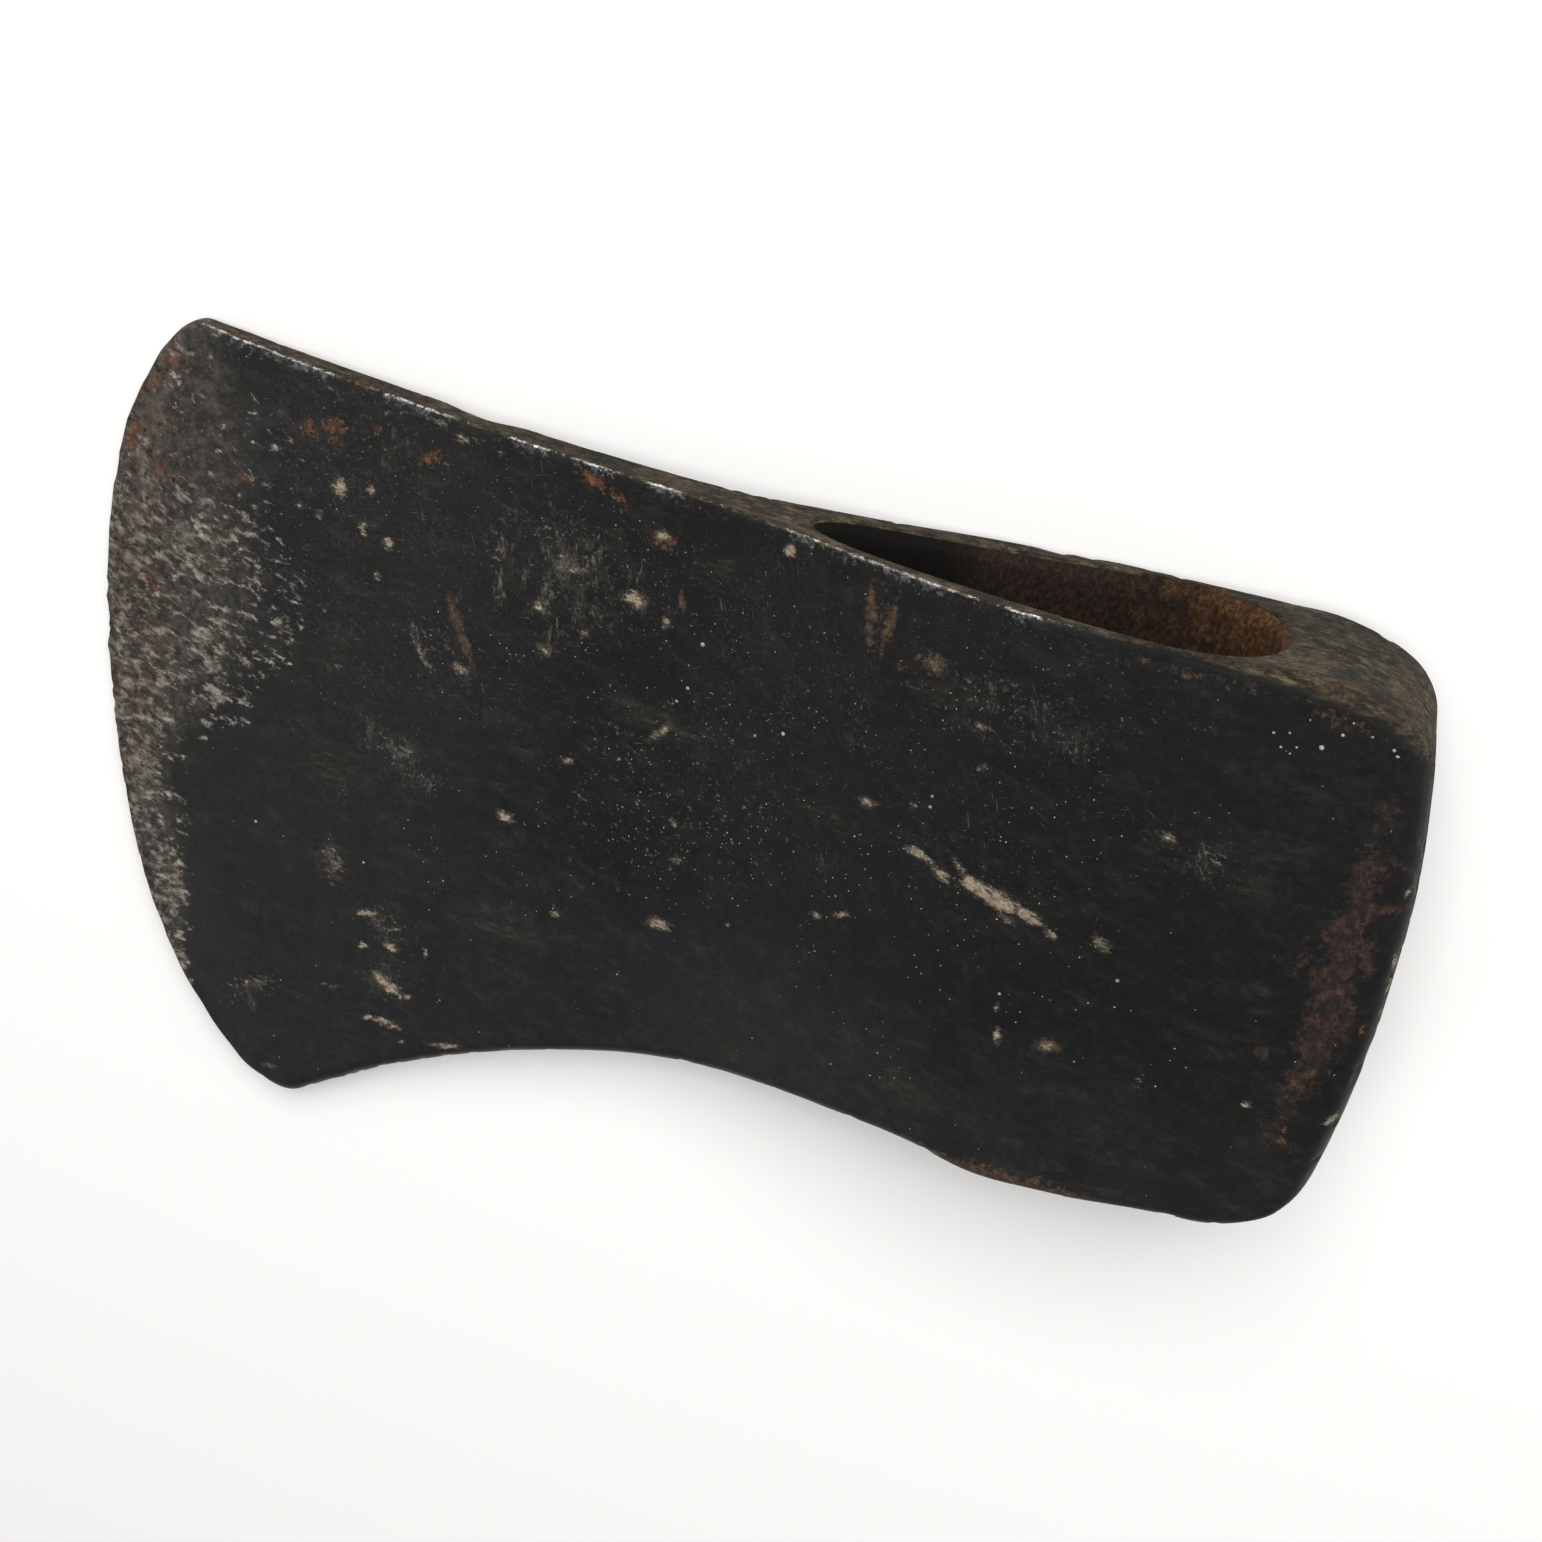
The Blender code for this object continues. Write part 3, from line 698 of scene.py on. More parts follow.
    def bare_fields(self, points: Array, behind: Array, grit: Grit) -> dict[str, Array]:
        """Works out the fields of the steel that is rubbed bare at the bit.

        Args:
            points: Points in the head's own axes.
            behind: Their distance behind the cutting edge.
            grit: Random field that makes the bare zone ragged.

        Returns:
            How bare, how rubbed and how far into the toe each point is, and the place from which
            the strokes are drawn, which runs along the cutting edge's arc.
        """
        shape = self.shape
        y, z = points[:, 1], points[:, 2]
        least, more = self.zone_ragged
        heights, widths = zip(*BARE_ZONE)
        share = behind / (np.interp(y, heights, widths)
                          * (least + more * grit.fractal(points, self.ragged_size)))
        level = self.bare_level - self.toe_fall * rise(y, *self.toe_height) - self.bare_fall * share
        spoke = points[:, :2] - np.array((shape.bit_x + shape.bit_radius, shape.bit_crest))
        radius = np.linalg.norm(spoke, axis=1)
        arc = np.arctan2(spoke[:, 1], -spoke[:, 0]) * self.arc_length
        lean = math.radians(self.stroke_lean)
        return {
            "bare": level * (1 - rise(share, *self.zone_end)),
            "rubbed": 1 - rise(share, *self.rubbed_end),
            "toe": rise(y, *self.toe_rub_height) * (1 - rise(behind, *self.toe_rub_depth)),
            "grain": np.stack([radius * math.cos(lean) + arc * math.sin(lean),
                               arc * math.cos(lean) - radius * math.sin(lean), z], axis=-1),
        }


# Small helpers for meshes and objects

def surface_of(mesh: Mesh) -> tuple[Array, Array]:
    """Returns a mesh's points and their outward normals, one row for each."""
    found = []
    for name in ("co", "normal"):
        values = np.empty(len(mesh.vertices) * 3)
        mesh.vertices.foreach_get(name, values)
        found.append(values.reshape(-1, 3))
    return found[0], found[1]


def write_fields(mesh: Mesh, fields: dict[str, Array]) -> None:
    """Writes a number or a vector for each point of a mesh, by the name of its attribute."""
    for name, values in fields.items():
        kind, key = ("FLOAT", "value") if values.ndim == 1 else ("FLOAT_VECTOR", "vector")
        layer = mesh.attributes.new(name, kind, "POINT")
        layer.data.foreach_set(key, values.ravel().astype(np.float32))


def moved(points: Array, matrix: Matrix) -> Array:
    """Returns the points moved by a matrix."""
    matrix = np.array(matrix)
    return points @ matrix[:3, :3].T + matrix[:3, 3]


def add_object(name: str, data: Any) -> Object:
    """Makes an object of a mesh, a light or a camera, and links it to the scene."""
    obj = bpy.data.objects.new(name, data)
    bpy.context.scene.collection.objects.link(obj)
    return obj


def plain_mesh(obj: Object, modifier: Modifier, name: str) -> Mesh:
    """Makes plain mesh data of what a modifier gives, and removes the modifier.

    Args:
        obj: The object that has the modifier.
        modifier: Its only modifier.
        name: Name of the new mesh.

    Returns:
        The mesh.
    """
    result = obj.evaluated_get(bpy.context.evaluated_depsgraph_get())
    mesh = bpy.data.meshes.new_from_object(result)
    obj.modifiers.remove(modifier)
    mesh.name = name
    return mesh


@dataclass
class ForgedHead:
    """The axe head: a fine loft of the CAD sections, with the eye cut through and its wear.

    Stations are sections along the head, closer together in both ends, and rows run up the
    cheeks, with one row of the far cheek to each far_stride of the near one. Columns cross
    the top face, the underside, the bit and the poll.
    """

    shape: HeadShape
    stations: int = 233
    corner_stations: int = 40
    end_length: float = 17.0
    cheek_rows: int = 148
    far_stride: int = 4
    edge_rows: int = 6
    columns: int = 18
    eye_sides: int = 144
    rim_levels: int = 6
    wall_levels: int = 48
    cutter_reach: float = 4.0
    weld_distance: float = 1e-4
    rust_margin: float = 1.15          # mm, past the eye's wall that the eye's finish reaches
    rust_reach: float = 1.02
    slope: float = field(init=False)
    rest_height: float = field(init=False)
    laid_down: Matrix = field(init=False, default_factory=lambda: Matrix.Identity(4))

    def __post_init__(self) -> None:
        """Finds the plane that the head rests on."""
        self.slope, self.rest_height = self.shape.resting_plane()

    def section_shares(self) -> Array:
        """Returns the places of the sections, closer together towards the bit and the poll."""
        turns = np.linspace(0, math.pi / 2, self.corner_stations + 1)
        end = self.end_length / self.shape.length
        near_bit = end * (1 - np.cos(turns))
        middle = np.linspace(end, 1 - end, self.stations + 1)[1:-1]
        return np.concatenate([near_bit, middle, 1 - near_bit[::-1]])

    def half_sections(self, shares: Array, side: int) -> Array:
        """Draws one side of every section, from the bottom edge over the cheek to the top edge.

        Args:
            shares: Places of the sections.
            side: 1 for the near cheek and -1 for the far one.

        Returns:
            Points, one row for each section.
        """
        shape = self.shape
        top = shape.end_height(shares, shape.top_line, shape.toe_corner, shape.poll_top_corner)
        bottom = shape.end_height(shares, shape.bottom_line, shape.heel_corner,
                                  shape.poll_low_corner)
        from_poll = (1 - shares) * shape.length
        poll_loss = corner_loss(from_poll, shape.poll_edge_round, shape.poll_edge_round)

        def heights(y: Array, share: Array, loss: Array) -> Array:
            """Returns the cheek's height at these places, worn flat where the far cheek rests."""
            x = shape.section_x(share, y)
            height = shape.cheek_height(x, shape.from_bit(x, y)) - loss
            return np.minimum(height, self.rest_height + self.slope * x) if side < 0 else height

        top_round = (shape.near_edge_round(shape.section_x(shares, top)) if side > 0
                     else shape.top_far_edge_round)
        top_round = np.minimum(top_round, shape.thin_edge_share * heights(top, shares, poll_loss))
        low_round = np.minimum(shape.bottom_edge_round,
                               shape.thin_edge_share * heights(bottom, shares, poll_loss))
        angles = np.linspace(0, math.pi / 2, self.edge_rows + 1)
        rows = np.linspace(0, 1, self.cheek_rows + 1)
        low, high = bottom + low_round, top - top_round
        y = np.concatenate([
            bottom[:, None] + low_round[:, None] * (1 - np.cos(angles[:-1])),
            low[:, None] + (high - low)[:, None] * rows,
            high[:, None] + top_round[:, None] * np.sin(angles[1:])], axis=1)
        drop = np.concatenate([
            low_round[:, None] * (1 - np.sin(angles[:-1])),
            np.zeros((len(shares), len(rows))),
            top_round[:, None] * (1 - np.cos(angles[1:]))], axis=1)
        share = np.broadcast_to(shares[:, None], y.shape)
        height = heights(y, share, poll_loss[:, None]) - drop
        return np.stack([shape.section_x(share, y), y, side * height], axis=-1)

    def outside(self) -> Object:
        """Builds the whole outside of the head, before the eye goes through it.

        Returns:
            A closed mesh object in the head's own axes.
        """
        shares = self.section_shares()
        near = self.half_sections(shares, 1)
        far_all = self.half_sections(shares, -1)
        last = far_all.shape[1] - 1
        cheek = np.arange(self.edge_rows, last - self.edge_rows + 1, self.far_stride)
        edges = np.arange(self.edge_rows)
        far = far_all[:, np.unique(np.concatenate([edges, cheek, last - edges]))]
        along = np.linspace(0, 1, self.columns + 1)[1:-1]

        def between(start: Array, end: Array) -> Array:
            """Returns the columns of points inside a straight strip."""
            return start[:, None] + (end - start)[:, None] * along[None, :, None]

        top, bottom = between(near[:, -1], far[:, -1]), between(far[:, 0], near[:, 0])
        rings = np.concatenate([near, top, far[:, ::-1], bottom], axis=1)
        count, size = rings.shape[:2]
        first = np.arange(count - 1)[:, None] * size
        here = np.arange(size)[None]
        there = (here + 1) % size
        quads = np.stack([first + here, first + size + here, first + size + there, first + there],
                         axis=-1)
        faces = quads.reshape(-1, 4).tolist()
        parts = [rings.reshape(-1, 3)]
        rows = near.shape[1]
        far_start = rows + len(along)
        for station in (0, count - 1):
            left = [station * size + row for row in range(rows)]
            inner = between(near[station], far_all[station])
            for column in range(len(along)):
                start = sum(map(len, parts))
                parts.append(inner[:, column])
                right = list(range(start, start + rows))
                faces += [[left[i], right[i], right[i + 1], left[i + 1]]
                          for i in range(rows - 1)]
                left = right
            end = [station * size + far_start + row for row in range(far.shape[1])]
            faces += self.zip_rows(left, end[::-1])
        return self.as_object("forged_head", np.concatenate(parts), faces)

    @staticmethod
    def zip_rows(left: list[int], right: list[int]) -> list[list[int]]:
        """Joins two rows of points of different lengths with triangles.

        Args:
            left: Point numbers of one row.
            right: Point numbers of the other, in the same direction.

        Returns:
            The triangles.
        """
        faces: list[list[int]] = []
        last_left, last_right = len(left) - 1, len(right) - 1
        i = j = 0
        while i < last_left or j < last_right:
            behind = i < last_left and (i + 1) * last_right <= (j + 1) * last_left
            if j == last_right or behind:
                faces.append([left[i], right[j], left[i + 1]])
                i += 1
            else:
                faces.append([left[i], right[j], right[j + 1]])
                j += 1
        return faces

    def as_object(self, name: str, points: Array, faces: list[list[int]]) -> Object:
        """Makes a closed mesh object with its faces outwards.

        Args:
            name: The object's name.
            points: Its points, some of them in the same place.
            faces: Point numbers of each face.

        Returns:
            The object.
        """
        mesh = bpy.data.meshes.new(name)
        mesh.from_pydata(points.tolist(), [], faces)
        bm = bmesh.new()
        bm.from_mesh(mesh)
        bmesh.ops.remove_doubles(bm, verts=bm.verts, dist=self.weld_distance)
        bmesh.ops.recalc_face_normals(bm, faces=bm.faces)
        bm.to_mesh(mesh)
        bm.free()
        return add_object(name, mesh)

    def eye_cutter(self) -> Object:
        """Builds the eye's inside: a slight waist at mid height, and rims that open outwards.

        Returns:
            A closed mesh object in the head's own axes, standing out of the head at both ends.
        """
        shape = self.shape
        rim = shape.eye_rim_round / shape.eye_height
        turns = np.linspace(0, math.pi / 2, self.rim_levels + 1)[:-1]
        wall = np.linspace(0, 1, self.wall_levels + 1)
        reach = self.cutter_reach / shape.eye_height
        level = np.concatenate([[-reach], rim * np.sin(turns), rim + (1 - 2 * rim) * wall,
                                1 - rim * np.sin(turns[::-1]), [1 + reach]])
        opening = shape.eye_rim_round * (1 - np.sin(turns))
        waist = -shape.eye_waist * np.sin(math.pi * wall)
        growth = np.concatenate([[shape.eye_rim_round], opening, waist, opening[::-1],
                                 [shape.eye_rim_round]])
        around = 2 * math.pi * np.arange(self.eye_sides) / self.eye_sides
        half = shape.eye_half_width(np.cos(around) * shape.eye_half)
        x = np.cos(around)[None] * (shape.eye_half + growth[:, None])
        side = np.sin(around)[None]
        z = shape.eye_offset + np.copysign(half, side) + growth[:, None] * side
        low, high = shape.bottom_line(x), shape.top_line(x)
        points = np.stack([x, low + (high - low) * level[:, None], z], axis=-1)
        count, size = x.shape
        faces = [[row + i, row + (i + 1) % size, row + size + (i + 1) % size, row + size + i]
                 for row in range(0, (count - 1) * size, size) for i in range(size)]
        faces += [list(range(size)), list(range((count - 1) * size, count * size))]
        return self.as_object("eye_cutter", points.reshape(-1, 3), faces)

    def cut(self) -> Object:
        """Cuts the eye through the head.

        Returns:
            The head, with plain mesh data and no modifiers.
        """
        head, cutter = self.outside(), self.eye_cutter()
        cut = head.modifiers.new("eye", "BOOLEAN")
        cut.operation, cut.solver, cut.object = "DIFFERENCE", "EXACT", cutter
        head.data = plain_mesh(head, cut, "forged_head")
        bpy.data.objects.remove(cutter)
        return head

    def pose(self, points: Array) -> Matrix:
        """Finds the matrix that lays the head on its far cheek, where the CAD node lies.

        Args:
            points: The head's points before any wear.

        Returns:
            The turn and the move, from millimetres in its own axes to metres in the row's frame.
        """
        turn = Matrix.Rotation(-math.atan(self.slope), 4, "Y") @ Matrix.Scale(MM, 4)
        turned = moved(points, turn)
        low, high = turned.min(0), turned.max(0)
        cad_low, cad_high = (np.array(corner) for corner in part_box("axe_head"))
        move = (cad_low + cad_high) / 2 - (low + high) / 2
        move[2] = cad_low[2] - low[2]
        return Matrix.Translation(Vector(move)) @ turn

    def build(self, outside: Material, eye: Material) -> Object:
        """Makes the finished head in the row's frame.

        Args:
            outside: Finish of the outside.
            eye: Finish of the eye's wall.

        Returns:
            The dressed object.
        """
        head = self.cut()
        mesh = head.data
        points, normals = surface_of(mesh)
        self.laid_down = self.pose(points)
        inside = self.shape.eye_reach(points, self.rust_margin) <= self.rust_reach
        write_fields(mesh, WearAndPaintedLight(self.shape).fields(points, normals))
        relief = ForgedRelief(self.shape).depth(points, normals)
        points = moved(points + normals * relief[:, None], self.laid_down)
        points[:, 2] = np.maximum(points[:, 2], 0.0)
        mesh.vertices.foreach_set("co", points.ravel())
        mesh.update()
        mesh.materials.clear()
        mesh.materials.append(outside)
        mesh.materials.append(eye)
        slots = [int(all(inside[i] for i in face.vertices)) for face in mesh.polygons]
        mesh.polygons.foreach_set("material_index", slots)
        mesh.shade_smooth()
        return head


# Finishes

def linear(colour: str) -> tuple[float, float, float, float]:
    """Turns an sRGB hex colour into linear RGBA."""
    channels = [int(colour[i:i + 2], 16) / 255 for i in (1, 3, 5)]
    return (*[c / 12.92 if c <= 0.04045 else ((c + 0.055) / 1.055) ** 2.4 for c in channels], 1.0)


Pattern = tuple[Any, ...]              # a random pattern, then the places and hex colours along it


@dataclass
class Bench:
    """A node tree being made."""

    tree: NodeTree

    def add(self, kind: str, inputs: dict[int | str, Any] | None = None, out: int | str = 0,
            stops: Sequence[tuple[float, str]] = (), **settings: Any) -> NodeSocket | None:
        """Adds a node with its settings and links.

        Args:
            kind: The node's type.
            inputs: A value or a socket for each input, by name or number.
            out: The output that is wanted, by name or number.
            stops: Places and hex colours of a colour ramp.
            **settings: Properties of the node.

        Returns:
            That output, or nothing for a node without outputs.
        """
        node = self.tree.nodes.new(kind)
        for key, value in settings.items():
            setattr(node, key, value)
        for key, value in (inputs or {}).items():
            if isinstance(value, NodeSocket):
                self.tree.links.new(value, node.inputs[key])
            else:
                node.inputs[key].default_value = value
        for _ in stops[2:]:
            node.color_ramp.elements.new(0.5)
        for index, (place, _) in enumerate(stops):
            node.color_ramp.elements[index].position = place
        for index, (_, colour) in enumerate(stops):
            node.color_ramp.elements[index].color = linear(colour)
        return node.outputs[out] if node.outputs else None


class Finish(Bench):
    """A material being made: coats laid one over another, and the relief they stand in."""

    def __init__(self, name: str, shine: float = 0.5) -> None:
        """Starts a material.

        Args:
            name: The material's name.
            shine: Its specular level, the same all over.
        """
        self.material = bpy.data.materials.new(name)
        self.material.use_nodes = True
        super().__init__(self.material.node_tree)
        self.surface = self.tree.nodes["Principled BSDF"]
        self.surface.inputs["Specular IOR Level"].default_value = shine
        place = self.add("ShaderNodeTexCoord", out="Object")
        self.place = self.add("ShaderNodeVectorMath", {0: place, "Scale": 1 / MM},
                              operation="SCALE")
        self.layers: dict[str, Any] = {}
        self.height: Any = None

    def grains(self, size: float, detail: float = 4.0, rough: float = 0.6,
               stretch: Triple = (1.0, 1.0, 1.0), turn: float = 0.0,
               bend: float = 0.0, place: NodeSocket | None = None) -> NodeSocket:
        """Makes a random pattern of a real size.

        Args:
            size: Size of a grain in millimetres.
            detail: Number of finer patterns in it.
            rough: Strength of the finer ones.
            stretch: How many times longer the grains are along each axis.
            turn: Turn of the grains about Z, in degrees.
            bend: How much the pattern is warped.
            place: Coordinates in millimetres, the object's own if none are given.

        Returns:
            Numbers around 0.5.
        """
        place = self.add("ShaderNodeMapping",
                         {0: place or self.place, "Rotation": (0, 0, math.radians(turn)),
                          "Scale": [size * times for times in stretch]}, vector_type="TEXTURE")
        return self.add("ShaderNodeTexNoise", {"Vector": place, "Scale": 1.0, "Detail": detail,
                                               "Roughness": rough, "Distortion": bend})

    def patches(self, grains: NodeSocket, cover: float | tuple[str, float], spread: float = 1.0,
                soft: float = 0.06, most: float | NodeSocket = 1.0) -> NodeSocket:
        """Breaks a cover into patches with ragged edges.

        Args:
            grains: A random pattern around 0.5.
            cover: Share that is covered, 0.5 for half, or a wear field's name and strength.
            spread: How much the pattern counts against the cover.
            soft: Softness of the patches' edges.
            most: Strength of the mask inside the patches.

        Returns:
            A mask.
        """
        if isinstance(cover, tuple):
            name, strength = cover
            worn = self.add("ShaderNodeAttribute", out="Fac", attribute_name=name)
            cover = self.add("ShaderNodeMath", {0: worn, 1: strength}, operation="MULTIPLY")
        total = self.add("ShaderNodeMath", {0: grains, 1: spread, 2: cover},
                         operation="MULTIPLY_ADD")
        middle = 0.5 + 0.5 * spread
        return self.add("ShaderNodeMapRange", {"Value": total, "From Min": middle - soft,
                                               "From Max": middle + soft, "To Max": most},
                        interpolation_type="SMOOTHSTEP")

    def coat(self, mask: NodeSocket | None, colour: str | Pattern, roughness: Any,
             metallic: Any = 0.0, raised: float = 0.0) -> None:
        """Lays a coat over what is there.

        Args:
            mask: Where the coat is, or nothing for the whole surface.
            colour: Its hex colour, or a pattern with the colours that run through it.
            roughness: Its roughness.
            metallic: How metallic it is.
            raised: How far it stands above what is under it, in millimetres.
        """
        tone = (linear(colour) if isinstance(colour, str) else
                self.add("ShaderNodeValToRGB", {0: colour[0]}, stops=colour[1:]))
        # A mix node's inputs and output of each data type have their own numbers
        for name, value, kind, under, out in (("Base Color", tone, "RGBA", 6, 2),
                                              ("Roughness", roughness, "FLOAT", 2, 0),
                                              ("Metallic", metallic, "FLOAT", 2, 0)):
            if mask is not None:
                pair = {under: self.layers[name], under + 1: value}
                value = self.add("ShaderNodeMix", {0: mask, **pair}, out, data_type=kind)
            self.layers[name] = value
        if raised:
            self.lift(mask, raised)

    def steps(self) -> tuple[Callable, Callable, Callable]:
        """Returns the three steps that lay a coat: coat, patches and grains."""
        return self.coat, self.patches, self.grains

    def lift(self, value: NodeSocket, height: float) -> None:
        """Adds a relief of this height in millimetres, where the value is 1."""
        self.height = self.add("ShaderNodeMath", {0: value, 1: height, 2: self.height or 0.0},
                               operation="MULTIPLY_ADD")

    def done(self) -> Material:
        """Joins the coats and the relief to the surface, and returns the material."""
        if self.height:
            relief = {"Distance": MM, "Height": self.height}
            self.layers["Normal"] = self.add("ShaderNodeBump", relief)
        for name, value in self.layers.items():
            if isinstance(value, NodeSocket):
                self.tree.links.new(value, self.surface.inputs[name])
            else:
                self.surface.inputs[name].default_value = value
        return self.material


@dataclass(frozen=True)
class BlackForgeScale:
    """Forged carbon steel under old black scale and paint, rubbed to a satin by handling.

    The scale is a nearly black, faintly bluish or greenish ground, with painted shade that makes it
    blacker towards the eye. Where it is rubbed through at the bit, the bare steel shows as short
    grey strokes of a file and of use, and the crisp edge is bare steel, partly painted as a
    highlight.
    Rust, clay and lime lie on it in thin ragged patches.
    """

    blue: str = "#141519"
    black: str = "#161616"
    green: str = "#151714"
    violet: str = "#181618"
    # Colour of the painted shade
    shade_black: str = "#090909"
    stroke_length: float = 2.5         # mm, of a bare stroke at the bit
    stroke_width: float = 1.4
    rust_grain: float = 1.2
    clay_grain: float = 0.8
    matt: float = 0.95                 # roughness of the top face's scale
    shine: float = 0.23

    def make(self) -> Material:
        """Builds the material."""
        finish = Finish("black_forge_scale", self.shine)
        for lay in (self.lay_scale, self.lay_haze, self.lay_top_face, self.bare_bit,
                    self.lay_rust, self.lay_clay, self.rub_edge_and_glint):
            lay(finish)
        return finish.done()

    def lay_scale(self, finish: Finish) -> None:
        """Lays the black scale, with its pinholes, its faint tints and painted shade towards the
        eye.
        """
        coat, patches, grains = finish.steps()
        tint = grains(26.0, 2.0)
        fine = grains(1.3, 6.0, 0.7)
        satin = finish.add("ShaderNodeMapRange",
                           {"Value": grains(9.0, 5.0), "From Min": 0.3, "From Max": 0.7,
                            "To Min": 0.36, "To Max": 0.6})
        metal = patches(fine, 0.5, soft=0.2, most=0.12)
        coat(None, (tint, (0.36, self.blue), (0.46, self.black), (0.54, self.green),
                    (0.64, self.violet)), satin, metal)
        # Painted shade: the scale made blacker towards the eye and the top edge
        coat(patches(grains(12.0, 4.0), ("sooty", 0.9), 0.8, 0.4, 0.93), self.shade_black, 0.52)
        # The relief of the scale
        finish.lift(fine, 0.05)
        finish.lift(grains(0.35, 2.0), 0.012)
        # A faint blue sheen
        coat(patches(grains(5.0, 5.0, 0.7), ("blue", 0.8), 1.2, 0.3, 0.75), "#0e131a", 0.42)
        # Scale worn a little lighter, in patches, specks and bands
        worn = patches(grains(9.0, 5.0, 0.7), 0.5, soft=0.2, most=0.7)
        coat(patches(fine, 0.44, soft=0.14, most=worn), (tint, (0.4, "#232525"), (0.6, "#2a2826")),
             0.55, 0.1)
        coat(patches(grains(0.8, 6.0, 0.85), 0.4, soft=0.1, most=0.5), "#272726", 0.55, 0.1)
        bands = grains(2.6, 6.0, 0.72, (2.4, 1, 1), -12, 0.4)
        coat(patches(bands, 0.42, soft=0.1, most=0.5), (fine, (0.4, "#222324"), (0.6, "#33312f")),
             0.55, 0.1)
        # More painted shade towards the eye and the top edge
        coat(patches(grains(7.0, 5.0, 0.7), ("sooty", 0.85), 1.0, 0.3, 0.5), self.shade_black, 0.52)
        # Pinholes
        holes = patches(grains(0.7, 3.0, 0.7), 0.36, soft=0.03, most=0.8)
        coat(holes, "#0b0b0b", 0.75, 0.0, -0.03)

    def lay_haze(self, finish: Finish) -> None:
        """Lays the greyish-brown bloom, rubbed into streaks, with the dust and the hairlines."""
        coat, patches, grains = finish.steps()
        streaks = grains(0.5, 6.0, 0.75, (1, 7, 1), 20, 0.4)
        smudge = patches(grains(3.4, 7.0, 0.8, (1, 1.8, 1), 20), 0.46, soft=0.08, most=0.72)
        broad = grains(1.3, 6.0, 0.78, (1, 3.4, 1), 18, 0.4)
        smear = patches(grains(2.6, 7.0, 0.8, bend=0.5), ("haze", 0.5), 1.7, 0.16, 0.42)
        coat(smear, (broad, (0.4, "#1f1e1b"), (0.5, "#2a2824"), (0.62, "#46413a")), 0.6)
        haze = patches(broad, ("haze", 0.46), 2.3, 0.1, smudge)
        coat(haze, (grains(1.2, 6.0, 0.8), (0.38, "#302d28"), (0.5, "#4a453c"), (0.64, "#6d6557")),
             0.55, 0.1)
        # Dust and flecks are finer than a pixel, so they are drawn as coarse as it takes to show
        flecks = grains(0.55, 5.0, 0.75)
        rubbed = patches(flecks, ("haze", 0.3), 2.3, 0.1, 0.8)
        coat(rubbed, (streaks, (0.38, "#3d3b37"), (0.62, "#78736a")), 0.6, 0.1)
        # Scuffs across the cheek
        scuffs = grains(0.6, 7.0, 0.82, (1, 3.6, 1), 4, 0.9)
        coat(patches(scuffs, ("scuff", 0.74), 2.2, 0.13, 0.78),
             (grains(0.9, 5.0, 0.75), (0.36, "#36332d"), (0.5, "#4f4a40"), (0.62, "#7b7464")),
             0.6, 0.1)
        # Clustered flecks, and dust over the upper half
        clump = patches(grains(4.5, 5.0, 0.75), ("flecked", 0.6), soft=0.1, most=0.9)
        bits = patches(grains(0.8, 5.0, 0.8, (1.3, 1, 1), -24), 0.37, soft=0.03, most=clump)
        coat(bits, (grains(1.6, 3.0), (0.38, "#56524b"), (0.62, "#9a9284")), 0.7)
        patchy = patches(grains(8.0, 5.0, 0.65), ("dusty", 0.54), soft=0.12, most=0.85)
        dust = patches(flecks, 0.35, soft=0.03, most=patchy)
        coat(dust, (grains(2.2, 3.0), (0.38, "#383836"), (0.62, "#736e66")), 0.6, 0.1)
        # Hairlines as fine as the real ones would not show, so these are drawn coarser
        room = patches(grains(11.0, 3.0), ("dusty", 0.44), soft=0.07, most=0.34)
        for stretch, turn in (((44, 1, 1), -31), ((1, 24, 1), 17), ((34, 1, 1), 12)):
            lines = grains(0.24, 1.0, 0.5, stretch, turn)
            coat(patches(lines, 0.272, soft=0.025, most=room), "#6a665f", 0.4, 0.3)

    def lay_top_face(self, finish: Finish) -> None:
        """Lays the rougher scale of the top face, the underside and the poll, with its bloom."""
        coat, patches, grains = finish.steps()
        along = grains(0.9, 7.0, 0.8, (3.0, 1, 1))
        crumb = grains(1.7, 7.0, 0.8)
        broad = grains(12.0, 5.0, 0.6, (1.8, 1, 1))
        coat(patches(along, ("scaly", 2.0), 0.4, 0.3, 0.95),
             (broad, (0.38, "#121110"), (0.6, "#1f1d17")), self.matt)
        bloom = patches(broad, ("scaly", 0.56), 1.8, 0.4, 0.88)
        coat(bloom, (along, (0.4, "#161410"), (0.5, "#322e25"), (0.6, "#665b46")), self.matt)
        rusty = patches(grains(4.0, 7.0, 0.8), ("scaly", 0.42), 1.6, 0.12, 0.68)
        coat(rusty, (crumb, (0.4, "#281c15"), (0.62, "#5c452f")), self.matt)
        tan = patches(grains(0.8, 6.0, 0.8), ("scaly", 0.26), 1.6, 0.08, 0.8)
        coat(tan, (along, (0.4, "#504734"), (0.62, "#92866a")), self.matt, 0.0, 0.02)
        dents = patches(grains(2.2, 7.0, 0.8, (1.6, 1, 1)), ("scaly", 0.36), 1.8, 0.1, 0.8)
        coat(dents, "#11100e", self.matt, 0.0, -0.03)

